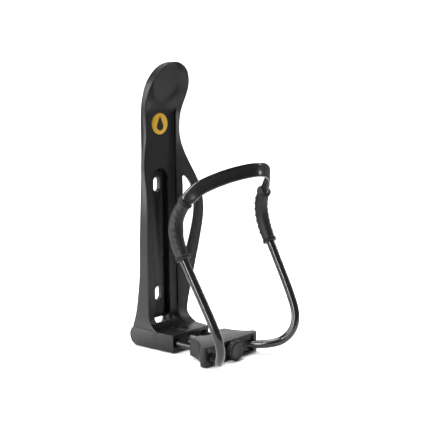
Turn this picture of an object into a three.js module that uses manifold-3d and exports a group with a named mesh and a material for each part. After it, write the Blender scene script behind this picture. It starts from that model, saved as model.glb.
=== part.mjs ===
// An adjustable water bottle cage for a bicycle frame.
//
// A moulded backplate bolts to the frame through two slots. Its foot carries two guide rods and an
// adjusting screw; a small carriage slides on them and holds a bent tube that reaches round the
// front of the bottle. Turning the knob moves the carriage in or out to suit the bottle.
//
// Millimetres. +Z is up the frame tube, -Y points from the frame towards the bottle, and +X is to
// the right for someone facing the cage. The origin is the middle of the mounting face, halfway
// between the two bolt slots.

import * as THREE from 'three';
import { mergeVertices } from 'three/addons/utils/BufferGeometryUtils.js';
import Module from 'manifold-3d';

const wasm = await Module();
wasm.setup();

// ---------------------------------------------------------------- driving dimensions

// Clearances
const SEAT_GAP = 0.3;             // between pieces that rest on each other
const BORE_GAP = 0.35;            // round a rod, screw or tube in its bore

// Frame mounting
const BOLT_SPACING = 64;          // between the two bosses of a bicycle frame
const SLOT_WIDTH = 5.3;
const SLOT_LENGTH = 8.6;
const PAD_THICKNESS = 3;          // plastic under a bolt head
const PAD_STEP = 1.3;             // the pad stands this far above the channel's floor

// Backplate panel
const PANEL_FRONT = -6.1;         // front of the flat panel
const PANEL_HALF_WIDTH = 12;      // out to the groove where each flank starts
const PANEL_WALL = 3;             // thickness of the panel and flanks, measured along Y
const CHANNEL_HALF_WIDTH = 6.2;   // recess that holds the bolt heads
const CHANNEL_WALL = 2;
const CHANNEL_TOP = 41.6;
const SPINE_TOP = 50;
const GROOVE_WIDTH = 0.8;
const GROOVE_DEPTH = 0.6;
const GROOVE_TOP = 75;
const GROOVE_BOTTOM = -41;

// Tongue at the top
const TONGUE_TOP = 101.2;
const TONGUE_HEIGHT = 16.7;       // of its rounded end
const TONGUE_HALF_WIDTH = 15.3;
const TONGUE_BEND = 75.5;         // where the panel starts to lean forward
const TONGUE_BEND_LENGTH = 7;
const TONGUE_SLOPE = 0.365;
const DISH_HALF_WIDTH = 9.2;      // flat oval in the middle of the tongue

// Neck, wings and foot
const NECK_HALF_WIDTH = 13.3;
const NECK_HEIGHT = 62;
const WING_HALF_WIDTH = 22.6;
const WING_HEIGHT = 18;
const ANKLE_HALF_WIDTH = 15.7;
const ANKLE_HEIGHT = -42;
const FOOT_HALF_WIDTH = 16.3;     // under the panel
const HEEL_HALF_WIDTH = 17.3;     // against the frame tube
const TOE_HALF_WIDTH = 14.6;
const TOE_CORNER = 0.8;
const FOOT_TOP = -49.6;
const FOOT_BOTTOM = -59.6;
const FOOT_FRONT = -29;
const HEEL_BACK = 4.3;
const HEEL_ROUND = 6.4;           // of its lower corner
const FOOT_WALL = 1.8;
const RIB_THICKNESS = 1.4;        // between the rooms inside the foot
const FILLET_RADIUS = 7;          // between the panel and the top of the foot
const FRAME_TUBE_RADIUS = 22;     // largest tube that the hollow back clears

// Height, and what is measured there along Y: how far a flank's edge stands in front of the
// panel, and how deep that edge is from front to back.
const FLANK_REACH = [
  [-49.6, 6.5], [-42, 5.2], [-20, 8.0], [18, 12.8], [31, 11.0], [41, 7.2], [47, 5.1], [54, 3.7],
  [65, 3.0], [76, 3.6], [88, 4.4], [102, 4.4],
];
const EDGE_DEPTH = [
  [-49.6, 14.5], [-42, 11.0], [-30, 8.6], [-16, 7.0], [18, 5.9], [31, 4.5], [41, 3.0], [65, 2.8],
  [74, 3.5], [88, 4.9], [102, 5.4],
];

// Window in each wing
const WINDOW_INNER = 14;
const WINDOW_OUTER = 20.9;
const WINDOW_TOP = 36;
const WINDOW_BOTTOM = -10;
const WINDOW_SLANT = 0.45;        // sideways run of its walls, per millimetre of depth
const WINDOW_DATUM = -12;         // where along Y the inner and outer sizes are measured

// Drain opening at the foot of the channel
const DRAIN_HALF_WIDTH = 5.4;
const DRAIN_TOP = -46.2;
const DRAIN_SILL = -50.6;

// Badge
const BADGE_RADIUS = 6.1;
const BADGE_HEIGHT = 66.8;
const BADGE_THICKNESS = 0.65;
const BADGE_PROUD = 0.35;

// Guide rods, adjusting screw and knob, all along Y
const DRIVE_HEIGHT = -54.5;
const ROD_SPREAD = 11;            // each rod from the middle
const ROD_RADIUS = 2.15;
const ROD_TAIL = -6;
const ROD_HEAD = -50;
const ROD_GROOVE_RADIUS = 1.6;
const CLIP_THICKNESS = 0.8;
const CLIP_SETBACK = 0.7;         // from the end of the rod to its clip
const CLIP_RING = 1.35;           // how far a clip reaches out from its groove
const GUIDE_LENGTH = 8.2;         // of each rod's bore in the foot
const MOUTH_RADIUS = 2.8;
const MOUTH_DEPTH = 1.5;
const SCREW_RADIUS = 2;
const SCREW_TAIL = -7.5;
const SCREW_GROOVE_RADIUS = 1.5;
const NUT_WIDTH = 6;
const NUT_LENGTH = 8.4;
const NUT_HEIGHT = 7.8;
const NUT_MIDDLE = -20.5;
const KNOB_RADIUS = 5.6;
const KNOB_LENGTH = 3.6;
const KNOB_EDGE = 0.7;
const KNOB_FACE_WALL = 1.1;
const WASHER_RADIUS = 4.2;
const WASHER_THICKNESS = 0.5;

// Carriage
const CARRIAGE_TOP = -48.9;
const CARRIAGE_RISE = 2;          // its underside slopes up by this much towards the back
const CARRIAGE_FRONT = -60.2;
const CARRIAGE_BACK = -41.2;
const CARRIAGE_FRONT_HALF = 22;
const CARRIAGE_BACK_HALF = 14.6;
const CARRIAGE_CORNER = 2.4;
const SCOOP_RADIUS = 7;           // hollow in the middle of the back
const SCOOP_DEPTH = 3.2;
const COVER_HALF_WIDTH = 17.4;
const COVER_FRONT = -59.5;
const COVER_THICKNESS = 1.5;
const HOOD_WALL = 1.1;            // of the housing above and below the cover
const COVER_EDGE = 0.25;          // of the cover, below the tube's bore
const SCREW_BOSS_RADIUS = 2.1;
const SCREW_BOSS_LENGTH = 5.5;
const COVER_SCREW_HEIGHT = -52.6;
const COVER_SCREW_RADIUS = 1.2;
const COVER_SCREW_HEAD_RADIUS = 2.1;
const COVER_SCREW_HEAD_LENGTH = 1.6;
const COVER_SCREW_SINK = 3.5;     // depth of the pocket that each head lies in

// Cage tube and strap
const TUBE_RADIUS = 2.4;
const STRAP_HEIGHT = 7.6;
const STRAP_THICKNESS = 1.9;
const STRAP_SQUARENESS = 3.2;     // 2 is an ellipse; more squares its corners
const STRAP_BOTTOM = 33;          // the tube is flat above this height ...
const FLATTEN_START = 26;         // ... and round below this one
const SLEEVE_RADIUS = 3.75;
const SLEEVE_BOTTOM = 0.4;
const SLEEVE_TOP = 30;
const COLLAR_RADIUS = 4.2;
const COLLAR_LENGTH = 1.6;

// Centre line of the right half of the tube, from its end inside the carriage to the middle of
// the strap.
const TUBE_ROUTE = [
  [9.6, -55.5, -55.6], [12.6, -55.7, -55.6], [15.6, -58.0, -55.5], [17.5, -61.4, -55.3],
  [21.5, -69.2, -54.2], [26.6, -74.3, -52.2], [30.2, -78.8, -45.4], [32.1, -78.6, -37.8],
  [33.1, -75.1, -29.5], [34.7, -60.9, -4.3], [35.1, -54.8, 6.8], [34.9, -52.2, 15.4],
  [33.5, -52.8, 22.6], [31.4, -56.8, 30.0], [28.3, -62.0, 36.0], [23.4, -66.6, 39.3],
  [17.2, -70.5, 41.8], [9.2, -74.4, 43.8], [0, -76.3, 44.6],
];

// The carriage reaches below the tube's ends, and its cover's screws stand midway between the
// adjusting screw and the rods.
const tubeEndHeight = TUBE_ROUTE[1][2];
const carriageBottom = tubeEndHeight - TUBE_RADIUS - BORE_GAP - COVER_EDGE - SEAT_GAP - HOOD_WALL;
const coverScrewSpread = (SCREW_RADIUS + ROD_SPREAD - ROD_RADIUS) / 2;

// ---------------------------------------------------------------- general helpers

const { smoothstep, lerp } = THREE.MathUtils;
const v3 = (x, y, z) => new THREE.Vector3(x, y, z);

const ROUNDING = 0.35;

// A value from a table of [height, value] rows; the blend is slightly rounded between two rows.
function along(table, z) {
  const last = table.length - 1;
  if (z <= table[0][0]) return table[0][1];
  if (z >= table[last][0]) return table[last][1];
  const i = table.findIndex((row) => row[0] > z);
  const [[z0, a], [z1, b]] = [table[i - 1], table[i]];
  return lerp(lerp(a, b, (z - z0) / (z1 - z0)), lerp(a, b, smoothstep(z, z0, z1)), ROUNDING);
}

function toManifold(geometry) {
  const bare = geometry.clone();
  bare.deleteAttribute('normal');
  bare.deleteAttribute('uv');
  const merged = mergeVertices(bare, 1e-4);
  return new wasm.Manifold(new wasm.Mesh({
    numProp: 3,
    vertProperties: new Float32Array(merged.attributes.position.array),
    triVerts: new Uint32Array(merged.index.array),
  }));
}

function toGeometry(solid) {
  const mesh = solid.getMesh();
  const geometry = new THREE.BufferGeometry();
  geometry.setAttribute('position', new THREE.BufferAttribute(new Float32Array(mesh.vertProperties), 3));
  geometry.setIndex(new THREE.BufferAttribute(new Uint32Array(mesh.triVerts), 1));
  geometry.computeVertexNormals();
  return geometry;
}

const union = (first, ...rest) => rest.reduce((all, next) => all.add(next), first);
const cut = (first, ...rest) => rest.reduce((all, next) => all.subtract(next), first);

// A solid block between two corners.
function block(low, high) {
  const size = high.map((value, i) => value - low[i]);
  const geometry = new THREE.BoxGeometry(...size);
  geometry.translate(...low.map((value, i) => value + size[i] / 2));
  return toManifold(geometry);
}

// A cylinder along Y.
function rodAlongY(x, z, radius, y0, y1, sides = 24) {
  const geometry = new THREE.CylinderGeometry(radius, radius, y1 - y0, sides);
  geometry.translate(x, (y0 + y1) / 2, z);
  return toManifold(geometry);
}

// A turned piece about an axis along Y; the profile is a list of [radius, y].
function turned(profile, x, z, sides = 24) {
  const geometry = new THREE.LatheGeometry(profile.map(([r, y]) => new THREE.Vector2(r, y)), sides);
  geometry.translate(x, 0, z);
  return toManifold(geometry);
}

// A shape drawn in X and Z, given depth along Y.
function extrudeAlongY(shape, y0, y1, curveSegments = 12) {
  const geometry = new THREE.ExtrudeGeometry(shape, { depth: y1 - y0, bevelEnabled: false, curveSegments });
  geometry.rotateX(Math.PI / 2);
  geometry.translate(0, y1, 0);
  return toManifold(geometry);
}

// A shape drawn in X and Y, given height along Z.
function extrudeAlongZ(shape, z0, z1, curveSegments = 8) {
  const geometry = new THREE.ExtrudeGeometry(shape, { depth: z1 - z0, bevelEnabled: false, curveSegments });
  geometry.translate(0, 0, z0);
  return toManifold(geometry);
}

// A shape drawn in Y and Z, given width along X.
function extrudeAlongX(shape, halfWidth, curveSegments = 8) {
  const geometry = new THREE.ExtrudeGeometry(shape, {
    depth: 2 * halfWidth, bevelEnabled: false, curveSegments,
  });
  geometry.applyMatrix4(new THREE.Matrix4().makeBasis(v3(0, 1, 0), v3(0, 0, 1), v3(1, 0, 0)));
  geometry.translate(-halfWidth, 0, 0);
  return toManifold(geometry);
}

const mirrored = (solid) => solid.mirror([1, 0, 0]);

// A closed skin over rings of points, with a flat cap at each end.
function loft(rings) {
  const count = rings[0].length;
  const points = rings.flat();
  const triangles = [];
  for (let i = 0; i + 1 < rings.length; i += 1) {
    for (let k = 0; k < count; k += 1) {
      const a = i * count + k;
      const b = i * count + (k + 1) % count;
      triangles.push(a, b, a + count, b, b + count, a + count);
    }
  }
  const last = (rings.length - 1) * count;
  for (let k = 1; k + 1 < count; k += 1) {
    triangles.push(0, k + 1, k, last, last + k, last + k + 1);
  }
  const geometry = new THREE.BufferGeometry().setFromPoints(points);
  geometry.setIndex(triangles);
  return toManifold(geometry);
}

// ---------------------------------------------------------------- backplate

// Half width of the plate's outline at a height, for everything above the foot.
const outlineCurves = [
  new THREE.CubicBezierCurve(
    new THREE.Vector2(TONGUE_HALF_WIDTH, TONGUE_TOP - TONGUE_HEIGHT),
    new THREE.Vector2(TONGUE_HALF_WIDTH, TONGUE_TOP - TONGUE_HEIGHT - 9),
    new THREE.Vector2(NECK_HALF_WIDTH, NECK_HEIGHT + 12),
    new THREE.Vector2(NECK_HALF_WIDTH, NECK_HEIGHT),
  ),
  new THREE.CubicBezierCurve(
    new THREE.Vector2(NECK_HALF_WIDTH, NECK_HEIGHT),
    new THREE.Vector2(NECK_HALF_WIDTH, NECK_HEIGHT - 11),
    new THREE.Vector2(WING_HALF_WIDTH, WING_HEIGHT + 23),
    new THREE.Vector2(WING_HALF_WIDTH, WING_HEIGHT),
  ),
  new THREE.CubicBezierCurve(
    new THREE.Vector2(WING_HALF_WIDTH, WING_HEIGHT),
    new THREE.Vector2(WING_HALF_WIDTH, WING_HEIGHT - 14),
    new THREE.Vector2(ANKLE_HALF_WIDTH + 2.4, ANKLE_HEIGHT + 22),
    new THREE.Vector2(ANKLE_HALF_WIDTH, ANKLE_HEIGHT),
  ),
];

// Points down the right side of the outline, ending level with the bottom of the foot.
function sidePoints(steps) {
  const points = outlineCurves.flatMap((curve) => curve.getPoints(steps).slice(0, -1));
  points.push(new THREE.Vector2(ANKLE_HALF_WIDTH, ANKLE_HEIGHT));
  points.push(new THREE.Vector2(FOOT_HALF_WIDTH, FOOT_TOP));
  points.push(new THREE.Vector2(FOOT_HALF_WIDTH, FOOT_BOTTOM));
  return points;
}

const sideTable = sidePoints(24).map((p) => [p.y, p.x]).reverse();

function halfWidth(z) {
  const i = Math.max(1, sideTable.findIndex((row) => row[0] >= z));
  if (z >= sideTable[sideTable.length - 1][0]) return TONGUE_HALF_WIDTH;
  const [[z0, a], [z1, b]] = [sideTable[i - 1], sideTable[i]];
  return z1 === z0 ? b : lerp(a, b, (z - z0) / (z1 - z0));
}

function outlineShape() {
  const shape = new THREE.Shape();
  const shoulder = TONGUE_TOP - TONGUE_HEIGHT;
  const side = sidePoints(10);
  shape.moveTo(-TONGUE_HALF_WIDTH, shoulder);
  shape.absellipse(0, shoulder, TONGUE_HALF_WIDTH, TONGUE_HEIGHT, Math.PI, 0, true);
  side.slice(1).forEach((p) => shape.lineTo(p.x, p.y));
  side.slice(1).reverse().forEach((p) => shape.lineTo(-p.x, p.y));
  return shape;
}

// Where the flat middle ends and a flank begins: the groove, then the oval of the tongue.
function crease(z) {
  const middle = TONGUE_TOP - 11;
  const reach = (z - middle) / 12;
  const oval = DISH_HALF_WIDTH * Math.sqrt(Math.max(0.15, 1 - reach * reach));
  return lerp(PANEL_HALF_WIDTH, oval, smoothstep(z, GROOVE_TOP, TONGUE_BEND + 6));
}

// Front of the middle of the plate, before the fillet above the foot.
function middleAt(z) {
  const past = z - TONGUE_BEND + TONGUE_BEND_LENGTH / 2;
  const bend = Math.max(0, Math.min(past, TONGUE_BEND_LENGTH));
  const lean = bend * bend / (2 * TONGUE_BEND_LENGTH) + Math.max(0, past - TONGUE_BEND_LENGTH);
  return PANEL_FRONT - lean * TONGUE_SLOPE;
}

function fillet(z) {
  const drop = Math.min(FILLET_RADIUS, Math.max(0, FOOT_TOP + FILLET_RADIUS - z));
  return FILLET_RADIUS - Math.sqrt(FILLET_RADIUS * FILLET_RADIUS - drop * drop);
}

// Front and back surfaces; s runs from 0 at the crease to 1 at the outline.
function frontAt(s, z) {
  return middleAt(z) - fillet(z) - along(FLANK_REACH, z) * s;
}

function backAt(s, z) {
  const depth = lerp(PANEL_WALL, along(EDGE_DEPTH, z), smoothstep(s, 0.35, 0.62));
  return middleAt(z) - along(FLANK_REACH, z) * s + depth;
}

// The plate's skin: a box whose grid is moved onto the front and back surfaces.
function plateSkin() {
  const across = 15;              // five columns on each flank and five between them
  const rows = 46;
  const overhang = 1.12;          // the grid runs past the outline, which then trims it
  const low = FOOT_TOP;
  const geometry = new THREE.BoxGeometry(2, 2, 1, across, 1, rows);
  const position = geometry.attributes.position;
  for (let i = 0; i < position.count; i += 1) {
    const u = position.getX(i);
    const z = lerp(low, TONGUE_TOP + 0.5, position.getZ(i) + 0.5);
    const s = Math.max(0, 1.5 * Math.abs(u) - 0.5) * overhang;
    const inner = crease(z);
    const x = inner * Math.min(1, 3 * Math.abs(u)) + s * (halfWidth(z) - inner);
    const y = position.getY(i) < 0 ? frontAt(s, z) : backAt(s, z);
    position.setXYZ(i, Math.sign(u) * x, y, z);
  }
  return toManifold(geometry);
}

// The rounded end of the channel, or of the pad in it, from a height down to the foot.
function archShape(radius, top, bottom) {
  const shape = new THREE.Shape();
  shape.moveTo(radius, bottom);
  shape.lineTo(radius, top - radius);
  shape.absarc(0, top - radius, radius, 0, Math.PI, false);
  shape.lineTo(-radius, bottom);
  return shape;
}

function slotShape(z) {
  const shape = new THREE.Shape();
  const radius = SLOT_WIDTH / 2;
  const reach = SLOT_LENGTH / 2 - radius;
  shape.absarc(0, z + reach, radius, 0, Math.PI, false);
  shape.absarc(0, z - reach, radius, Math.PI, 2 * Math.PI, false);
  return shape;
}

function windowCutter() {
  const shape = new THREE.Shape();
  shape.moveTo(WINDOW_INNER, WINDOW_BOTTOM + 2);
  shape.lineTo(WINDOW_INNER, WINDOW_TOP - 1.5);
  shape.quadraticCurveTo(WINDOW_INNER + 0.2, WINDOW_TOP, WINDOW_INNER + 1, WINDOW_TOP - 0.6);
  shape.quadraticCurveTo(WINDOW_OUTER + 0.2, WINDOW_TOP - 5, WINDOW_OUTER, WINDOW_TOP - 16);
  shape.quadraticCurveTo(WINDOW_OUTER - 0.6, 4, WINDOW_INNER + 1.6, WINDOW_BOTTOM);
  shape.quadraticCurveTo(WINDOW_INNER + 0.2, WINDOW_BOTTOM, WINDOW_INNER, WINDOW_BOTTOM + 2);
  const geometry = new THREE.ExtrudeGeometry(shape, { depth: 34, bevelEnabled: false, curveSegments: 6 });
  geometry.rotateX(Math.PI / 2);
  geometry.translate(0, 4, 0);
  const position = geometry.attributes.position;
  for (let i = 0; i < position.count; i += 1) {
    position.setX(i, position.getX(i) + WINDOW_SLANT * (position.getY(i) - WINDOW_DATUM));
  }
  return toManifold(geometry);
}

// Side view of the foot.
function footSide() {
  const shape = new THREE.Shape();
  shape.moveTo(FOOT_FRONT, FOOT_TOP);
  shape.lineTo(FOOT_FRONT, FOOT_BOTTOM);
  shape.lineTo(HEEL_BACK - HEEL_ROUND, FOOT_BOTTOM);
  shape.absarc(HEEL_BACK - HEEL_ROUND, FOOT_BOTTOM + HEEL_ROUND, HEEL_ROUND, -Math.PI / 2, 0);
  shape.quadraticCurveTo(HEEL_BACK - 0.3, FOOT_TOP - 2, HEEL_BACK - 1.9, FOOT_TOP);
  return shape;
}

// Plan of the foot.
function footPlan() {
  const shape = new THREE.Shape();
  const [toe, corner] = [TOE_HALF_WIDTH, TOE_CORNER];
  shape.moveTo(-toe + corner, FOOT_FRONT);
  shape.lineTo(toe - corner, FOOT_FRONT);
  shape.quadraticCurveTo(toe, FOOT_FRONT, toe, FOOT_FRONT + corner);
  shape.quadraticCurveTo(FOOT_HALF_WIDTH, FOOT_FRONT / 2, HEEL_HALF_WIDTH, 0);
  shape.lineTo(HEEL_HALF_WIDTH, HEEL_BACK + 1);
  shape.lineTo(-HEEL_HALF_WIDTH, HEEL_BACK + 1);
  shape.lineTo(-HEEL_HALF_WIDTH, 0);
  shape.quadraticCurveTo(-FOOT_HALF_WIDTH, FOOT_FRONT / 2, -toe, FOOT_FRONT + corner);
  shape.quadraticCurveTo(-toe, FOOT_FRONT, -toe + corner, FOOT_FRONT);
  return shape;
}

// The heel's sides lean in, to meet the plate's outline at the top.
function footBlock() {
  return extrudeAlongZ(footPlan(), FOOT_BOTTOM, FOOT_TOP)
    .warp((corner) => {
      if (corner[2] === FOOT_TOP) {
        corner[0] = THREE.MathUtils.clamp(corner[0], -FOOT_HALF_WIDTH, FOOT_HALF_WIDTH);
      }
    })
    .intersect(extrudeAlongX(footSide(), HEEL_HALF_WIDTH + 1));
}

const nutFront = NUT_MIDDLE - NUT_LENGTH / 2;
const nutBack = NUT_MIDDLE + NUT_LENGTH / 2;
const guideBack = FOOT_FRONT + GUIDE_LENGTH;

// Room in the foot for the nut, the rods and their clips, and the end of the screw.
function footHollows() {
  const low = FOOT_BOTTOM + FOOT_WALL;
  const high = FOOT_TOP - FOOT_WALL;
  const nutHalf = NUT_WIDTH / 2 + SEAT_GAP;
  const ribSide = nutHalf + RIB_THICKNESS;
  const sideWall = ROD_SPREAD + ROD_GROOVE_RADIUS + CLIP_RING + SEAT_GAP;
  const nutBase = DRIVE_HEIGHT - NUT_HEIGHT / 2 - SEAT_GAP;
  const behindNut = nutBack + SEAT_GAP + RIB_THICKNESS;
  const hollows = [
    block([-nutHalf, nutFront - SEAT_GAP, nutBase], [nutHalf, nutBack + SEAT_GAP, FOOT_TOP + 1]),
    block([-ribSide, behindNut, low], [ribSide, HEEL_BACK + 2, high]),
    rodAlongY(0, DRIVE_HEIGHT, SCREW_RADIUS + BORE_GAP, FOOT_FRONT - 1, behindNut + 1),
  ];
  for (const side of [-1, 1]) {
    const x = side * ROD_SPREAD;
    const [inner, outer] = [ribSide, sideWall].map((value) => value * side);
    hollows.push(block(
      [Math.min(inner, outer), guideBack, low], [Math.max(inner, outer), HEEL_BACK + 2, high],
    ));
    hollows.push(rodAlongY(x, DRIVE_HEIGHT, ROD_RADIUS + BORE_GAP, FOOT_FRONT - 1, guideBack + 1));
    hollows.push(rodAlongY(x, DRIVE_HEIGHT, MOUTH_RADIUS, FOOT_FRONT - 1, FOOT_FRONT + MOUTH_DEPTH));
  }
  return hollows;
}

// The spine stands behind the panel: its flat back is the mounting face, and the channel in its
// front takes the bolt heads.
function spine() {
  const half = CHANNEL_HALF_WIDTH + CHANNEL_WALL;
  return extrudeAlongY(archShape(half, SPINE_TOP, FOOT_TOP - 1), PANEL_FRONT + 1, 0, 10);
}

function backplate() {
  const foot = footBlock();
  const skin = plateSkin().intersect(extrudeAlongY(outlineShape(), -40, HEEL_BACK, 20));
  const floor = -(PAD_THICKNESS - PAD_STEP);
  const padHalf = CHANNEL_HALF_WIDTH - 0.9;
  const channel = cut(
    extrudeAlongY(archShape(CHANNEL_HALF_WIDTH, CHANNEL_TOP, FOOT_TOP), PANEL_FRONT - 8, floor, 8),
    extrudeAlongY(archShape(padHalf, CHANNEL_TOP - 0.9, FOOT_TOP + 2), -PAD_THICKNESS, 1, 8),
  );
  const drain = block(
    [-DRAIN_HALF_WIDTH, PANEL_FRONT - 2.2, DRAIN_SILL],
    [DRAIN_HALF_WIDTH, HEEL_BACK + 1, DRAIN_TOP],
  );
  const grooves = [-1, 1].map((side) => block(
    [side * PANEL_HALF_WIDTH - GROOVE_WIDTH / 2, PANEL_FRONT - 1, GROOVE_BOTTOM],
    [side * PANEL_HALF_WIDTH + GROOVE_WIDTH / 2, PANEL_FRONT + GROOVE_DEPTH, GROOVE_TOP],
  ));
  const slots = [-1, 1].map((side) => (
    extrudeAlongY(slotShape(side * BOLT_SPACING / 2), -PANEL_WALL - 4, 2, 6)
  ));
  const windowRight = windowCutter();
  const frameTube = extrudeAlongZ(
    new THREE.Shape().absarc(0, FRAME_TUBE_RADIUS, FRAME_TUBE_RADIUS, 0, 2 * Math.PI), -70, 110, 24,
  );
  const badgeSeat = rodAlongY(
    0, BADGE_HEIGHT, BADGE_RADIUS + SEAT_GAP, PANEL_FRONT - 2,
    PANEL_FRONT - BADGE_PROUD + BADGE_THICKNESS + SEAT_GAP, 32,
  );
  return cut(
    union(skin, foot, spine()),
    channel, drain, ...grooves, ...slots, windowRight, mirrored(windowRight), frameTube, badgeSeat,
    ...footHollows(),
  );
}

function badge() {
  const front = PANEL_FRONT - BADGE_PROUD;
  return turned([
    [0, front], [BADGE_RADIUS - 0.4, front], [BADGE_RADIUS, front + 0.25],
    [BADGE_RADIUS, front + BADGE_THICKNESS], [0, front + BADGE_THICKNESS],
  ], 0, BADGE_HEIGHT, 32);
}

// ---------------------------------------------------------------- drive: nut, rods, screw, knob

function driveNut() {
  const half = [NUT_WIDTH / 2, NUT_HEIGHT / 2];
  const body = block(
    [-half[0], nutFront, DRIVE_HEIGHT - half[1]], [half[0], nutBack, DRIVE_HEIGHT + half[1]],
  );
  return cut(body, rodAlongY(0, DRIVE_HEIGHT, SCREW_RADIUS + BORE_GAP, nutFront - 1, nutBack + 1));
}

function guideRod(side) {
  const clipBack = ROD_TAIL - CLIP_SETBACK;
  const clipFront = clipBack - CLIP_THICKNESS - 0.2;
  return turned([
    [0, ROD_HEAD], [ROD_RADIUS - 0.4, ROD_HEAD], [ROD_RADIUS, ROD_HEAD + 0.4],
    [ROD_RADIUS, clipFront], [ROD_GROOVE_RADIUS, clipFront],
    [ROD_GROOVE_RADIUS, clipBack], [ROD_RADIUS, clipBack],
    [ROD_RADIUS, ROD_TAIL - 0.4], [ROD_RADIUS - 0.4, ROD_TAIL], [0, ROD_TAIL],
  ], side * ROD_SPREAD, DRIVE_HEIGHT, 20);
}

// A retaining ring with a gap at the bottom, pressed sideways into a groove.
function retainingRing(x, grooveRadius, y0) {
  const inner = grooveRadius + 0.12;
  const outer = grooveRadius + CLIP_RING;
  const gap = 0.5;
  const shape = new THREE.Shape();
  shape.absarc(0, 0, outer, -Math.PI / 2 + gap, 1.5 * Math.PI - gap, false);
  shape.absarc(0, 0, inner, 1.5 * Math.PI - gap * 1.7, -Math.PI / 2 + gap * 1.7, true);
  const ring = extrudeAlongY(shape, y0, y0 + CLIP_THICKNESS, 20);
  return ring.translate([x, 0, DRIVE_HEIGHT]);
}

const rodClip = (side) => (
  retainingRing(side * ROD_SPREAD, ROD_GROOVE_RADIUS, ROD_TAIL - CLIP_SETBACK - CLIP_THICKNESS - 0.1)
);

const coverBack = COVER_FRONT + COVER_THICKNESS;
const screwClipFront = coverBack + SEAT_GAP;
const washerFront = COVER_FRONT - SEAT_GAP - WASHER_THICKNESS;
const knobBack = washerFront - SEAT_GAP;
const knobFront = knobBack - KNOB_LENGTH;

function adjustingScrew() {
  const head = knobFront + KNOB_FACE_WALL;
  const grooveFront = screwClipFront - 0.1;
  const grooveBack = screwClipFront + CLIP_THICKNESS + 0.1;
  return turned([
    [0, head], [SCREW_RADIUS, head], [SCREW_RADIUS, grooveFront],
    [SCREW_GROOVE_RADIUS, grooveFront], [SCREW_GROOVE_RADIUS, grooveBack],
    [SCREW_RADIUS, grooveBack], [SCREW_RADIUS, SCREW_TAIL - 0.5],
    [SCREW_RADIUS - 0.5, SCREW_TAIL], [0, SCREW_TAIL],
  ], 0, DRIVE_HEIGHT, 20);
}

function knob() {
  const bore = SCREW_RADIUS + SEAT_GAP;
  const boreEnd = knobFront + KNOB_FACE_WALL - SEAT_GAP;
  return turned([
    [0, knobFront], [KNOB_RADIUS - KNOB_EDGE, knobFront + 0.15],
    [KNOB_RADIUS, knobFront + KNOB_EDGE], [KNOB_RADIUS, knobBack - 0.3],
    [KNOB_RADIUS - 0.3, knobBack], [bore, knobBack], [bore, boreEnd], [0, boreEnd],
  ], 0, DRIVE_HEIGHT, 32);
}

function thrustWasher() {
  const ring = rodAlongY(0, DRIVE_HEIGHT, WASHER_RADIUS, washerFront, washerFront + WASHER_THICKNESS);
  return cut(ring, rodAlongY(
    0, DRIVE_HEIGHT, SCREW_RADIUS + BORE_GAP, washerFront - 1, washerFront + WASHER_THICKNESS + 1,
  ));
}

// ---------------------------------------------------------------- cage tube and sleeves

const route = new THREE.CatmullRomCurve3(TUBE_ROUTE.map((p) => v3(...p)), false, 'centripetal');

// Stations along the right half, from the carriage end to the middle of the strap, each with its
// place and two directions across the tube: `wide` stays upright in the strap, `thin` is square to
// it.
function stations(count) {
  const result = [];
  for (let i = count; i >= 0; i -= 1) {
    const place = route.getPointAt(i / count);
    const tangent = i === count ? v3(-1, 0, 0) : route.getTangentAt(i / count);
    const ahead = result.length ? result[result.length - 1].wide : v3(0, 0, 1);
    const guide = place.z > FLATTEN_START ? v3(0, 0, 1) : ahead;
    const wide = guide.clone().addScaledVector(tangent, -guide.dot(tangent)).normalize();
    result.push({ place, wide, thin: wide.clone().cross(tangent).normalize() });
  }
  return result.reverse();
}

const STATION_COUNT = 56;
const tubeStations = stations(STATION_COUNT);

function ring({ place, wide, thin }, halfHeight, halfThickness, sides, squareness = 2) {
  const points = [];
  for (let k = 0; k < sides; k += 1) {
    const angle = 2 * Math.PI * (k + 0.5) / sides;
    const shaped = (value) => Math.sign(value) * Math.abs(value) ** (2 / squareness);
    points.push(place.clone()
      .addScaledVector(wide, shaped(Math.cos(angle)) * halfHeight)
      .addScaledVector(thin, shaped(Math.sin(angle)) * halfThickness));
  }
  return points;
}

// Round below, and pressed flat across the front of the bottle.
function tubeRing(station, clearance = 0) {
  const flat = smoothstep(station.place.z, FLATTEN_START, STRAP_BOTTOM);
  return ring(
    station,
    lerp(TUBE_RADIUS, STRAP_HEIGHT / 2, flat) + clearance,
    lerp(TUBE_RADIUS, STRAP_THICKNESS / 2, flat) + clearance,
    10,
    lerp(2, STRAP_SQUARENESS, flat),
  );
}

function cageTube() {
  const right = tubeStations.map((station) => tubeRing(station));
  const left = right.slice(0, -1).map((points) => points.map((p) => v3(-p.x, p.y, p.z)));
  return loft([...left, ...right.reverse()]);
}

// The stretch of the right arm between two heights, above the lowest bend of the tube.
function armStations(low, high) {
  const lowest = tubeStations.findIndex((s) => s.place.z > -30);
  return tubeStations.slice(lowest).filter((s) => s.place.x > 28 && s.place.z > low && s.place.z < high);
}

// Extra stations are put in exactly at each end of the sleeve and of its collars.
function stationAtHeight(z) {
  const index = tubeStations.findIndex((s, i) => (
    i > 0 && s.place.x > 28 && tubeStations[i - 1].place.z < z && s.place.z >= z && s.place.z > -30
  ));
  const [a, b] = [tubeStations[index - 1], tubeStations[index]];
  const t = (z - a.place.z) / (b.place.z - a.place.z);
  return {
    place: a.place.clone().lerp(b.place, t),
    wide: a.wide.clone().lerp(b.wide, t).normalize(),
    thin: a.thin.clone().lerp(b.thin, t).normalize(),
  };
}

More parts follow.
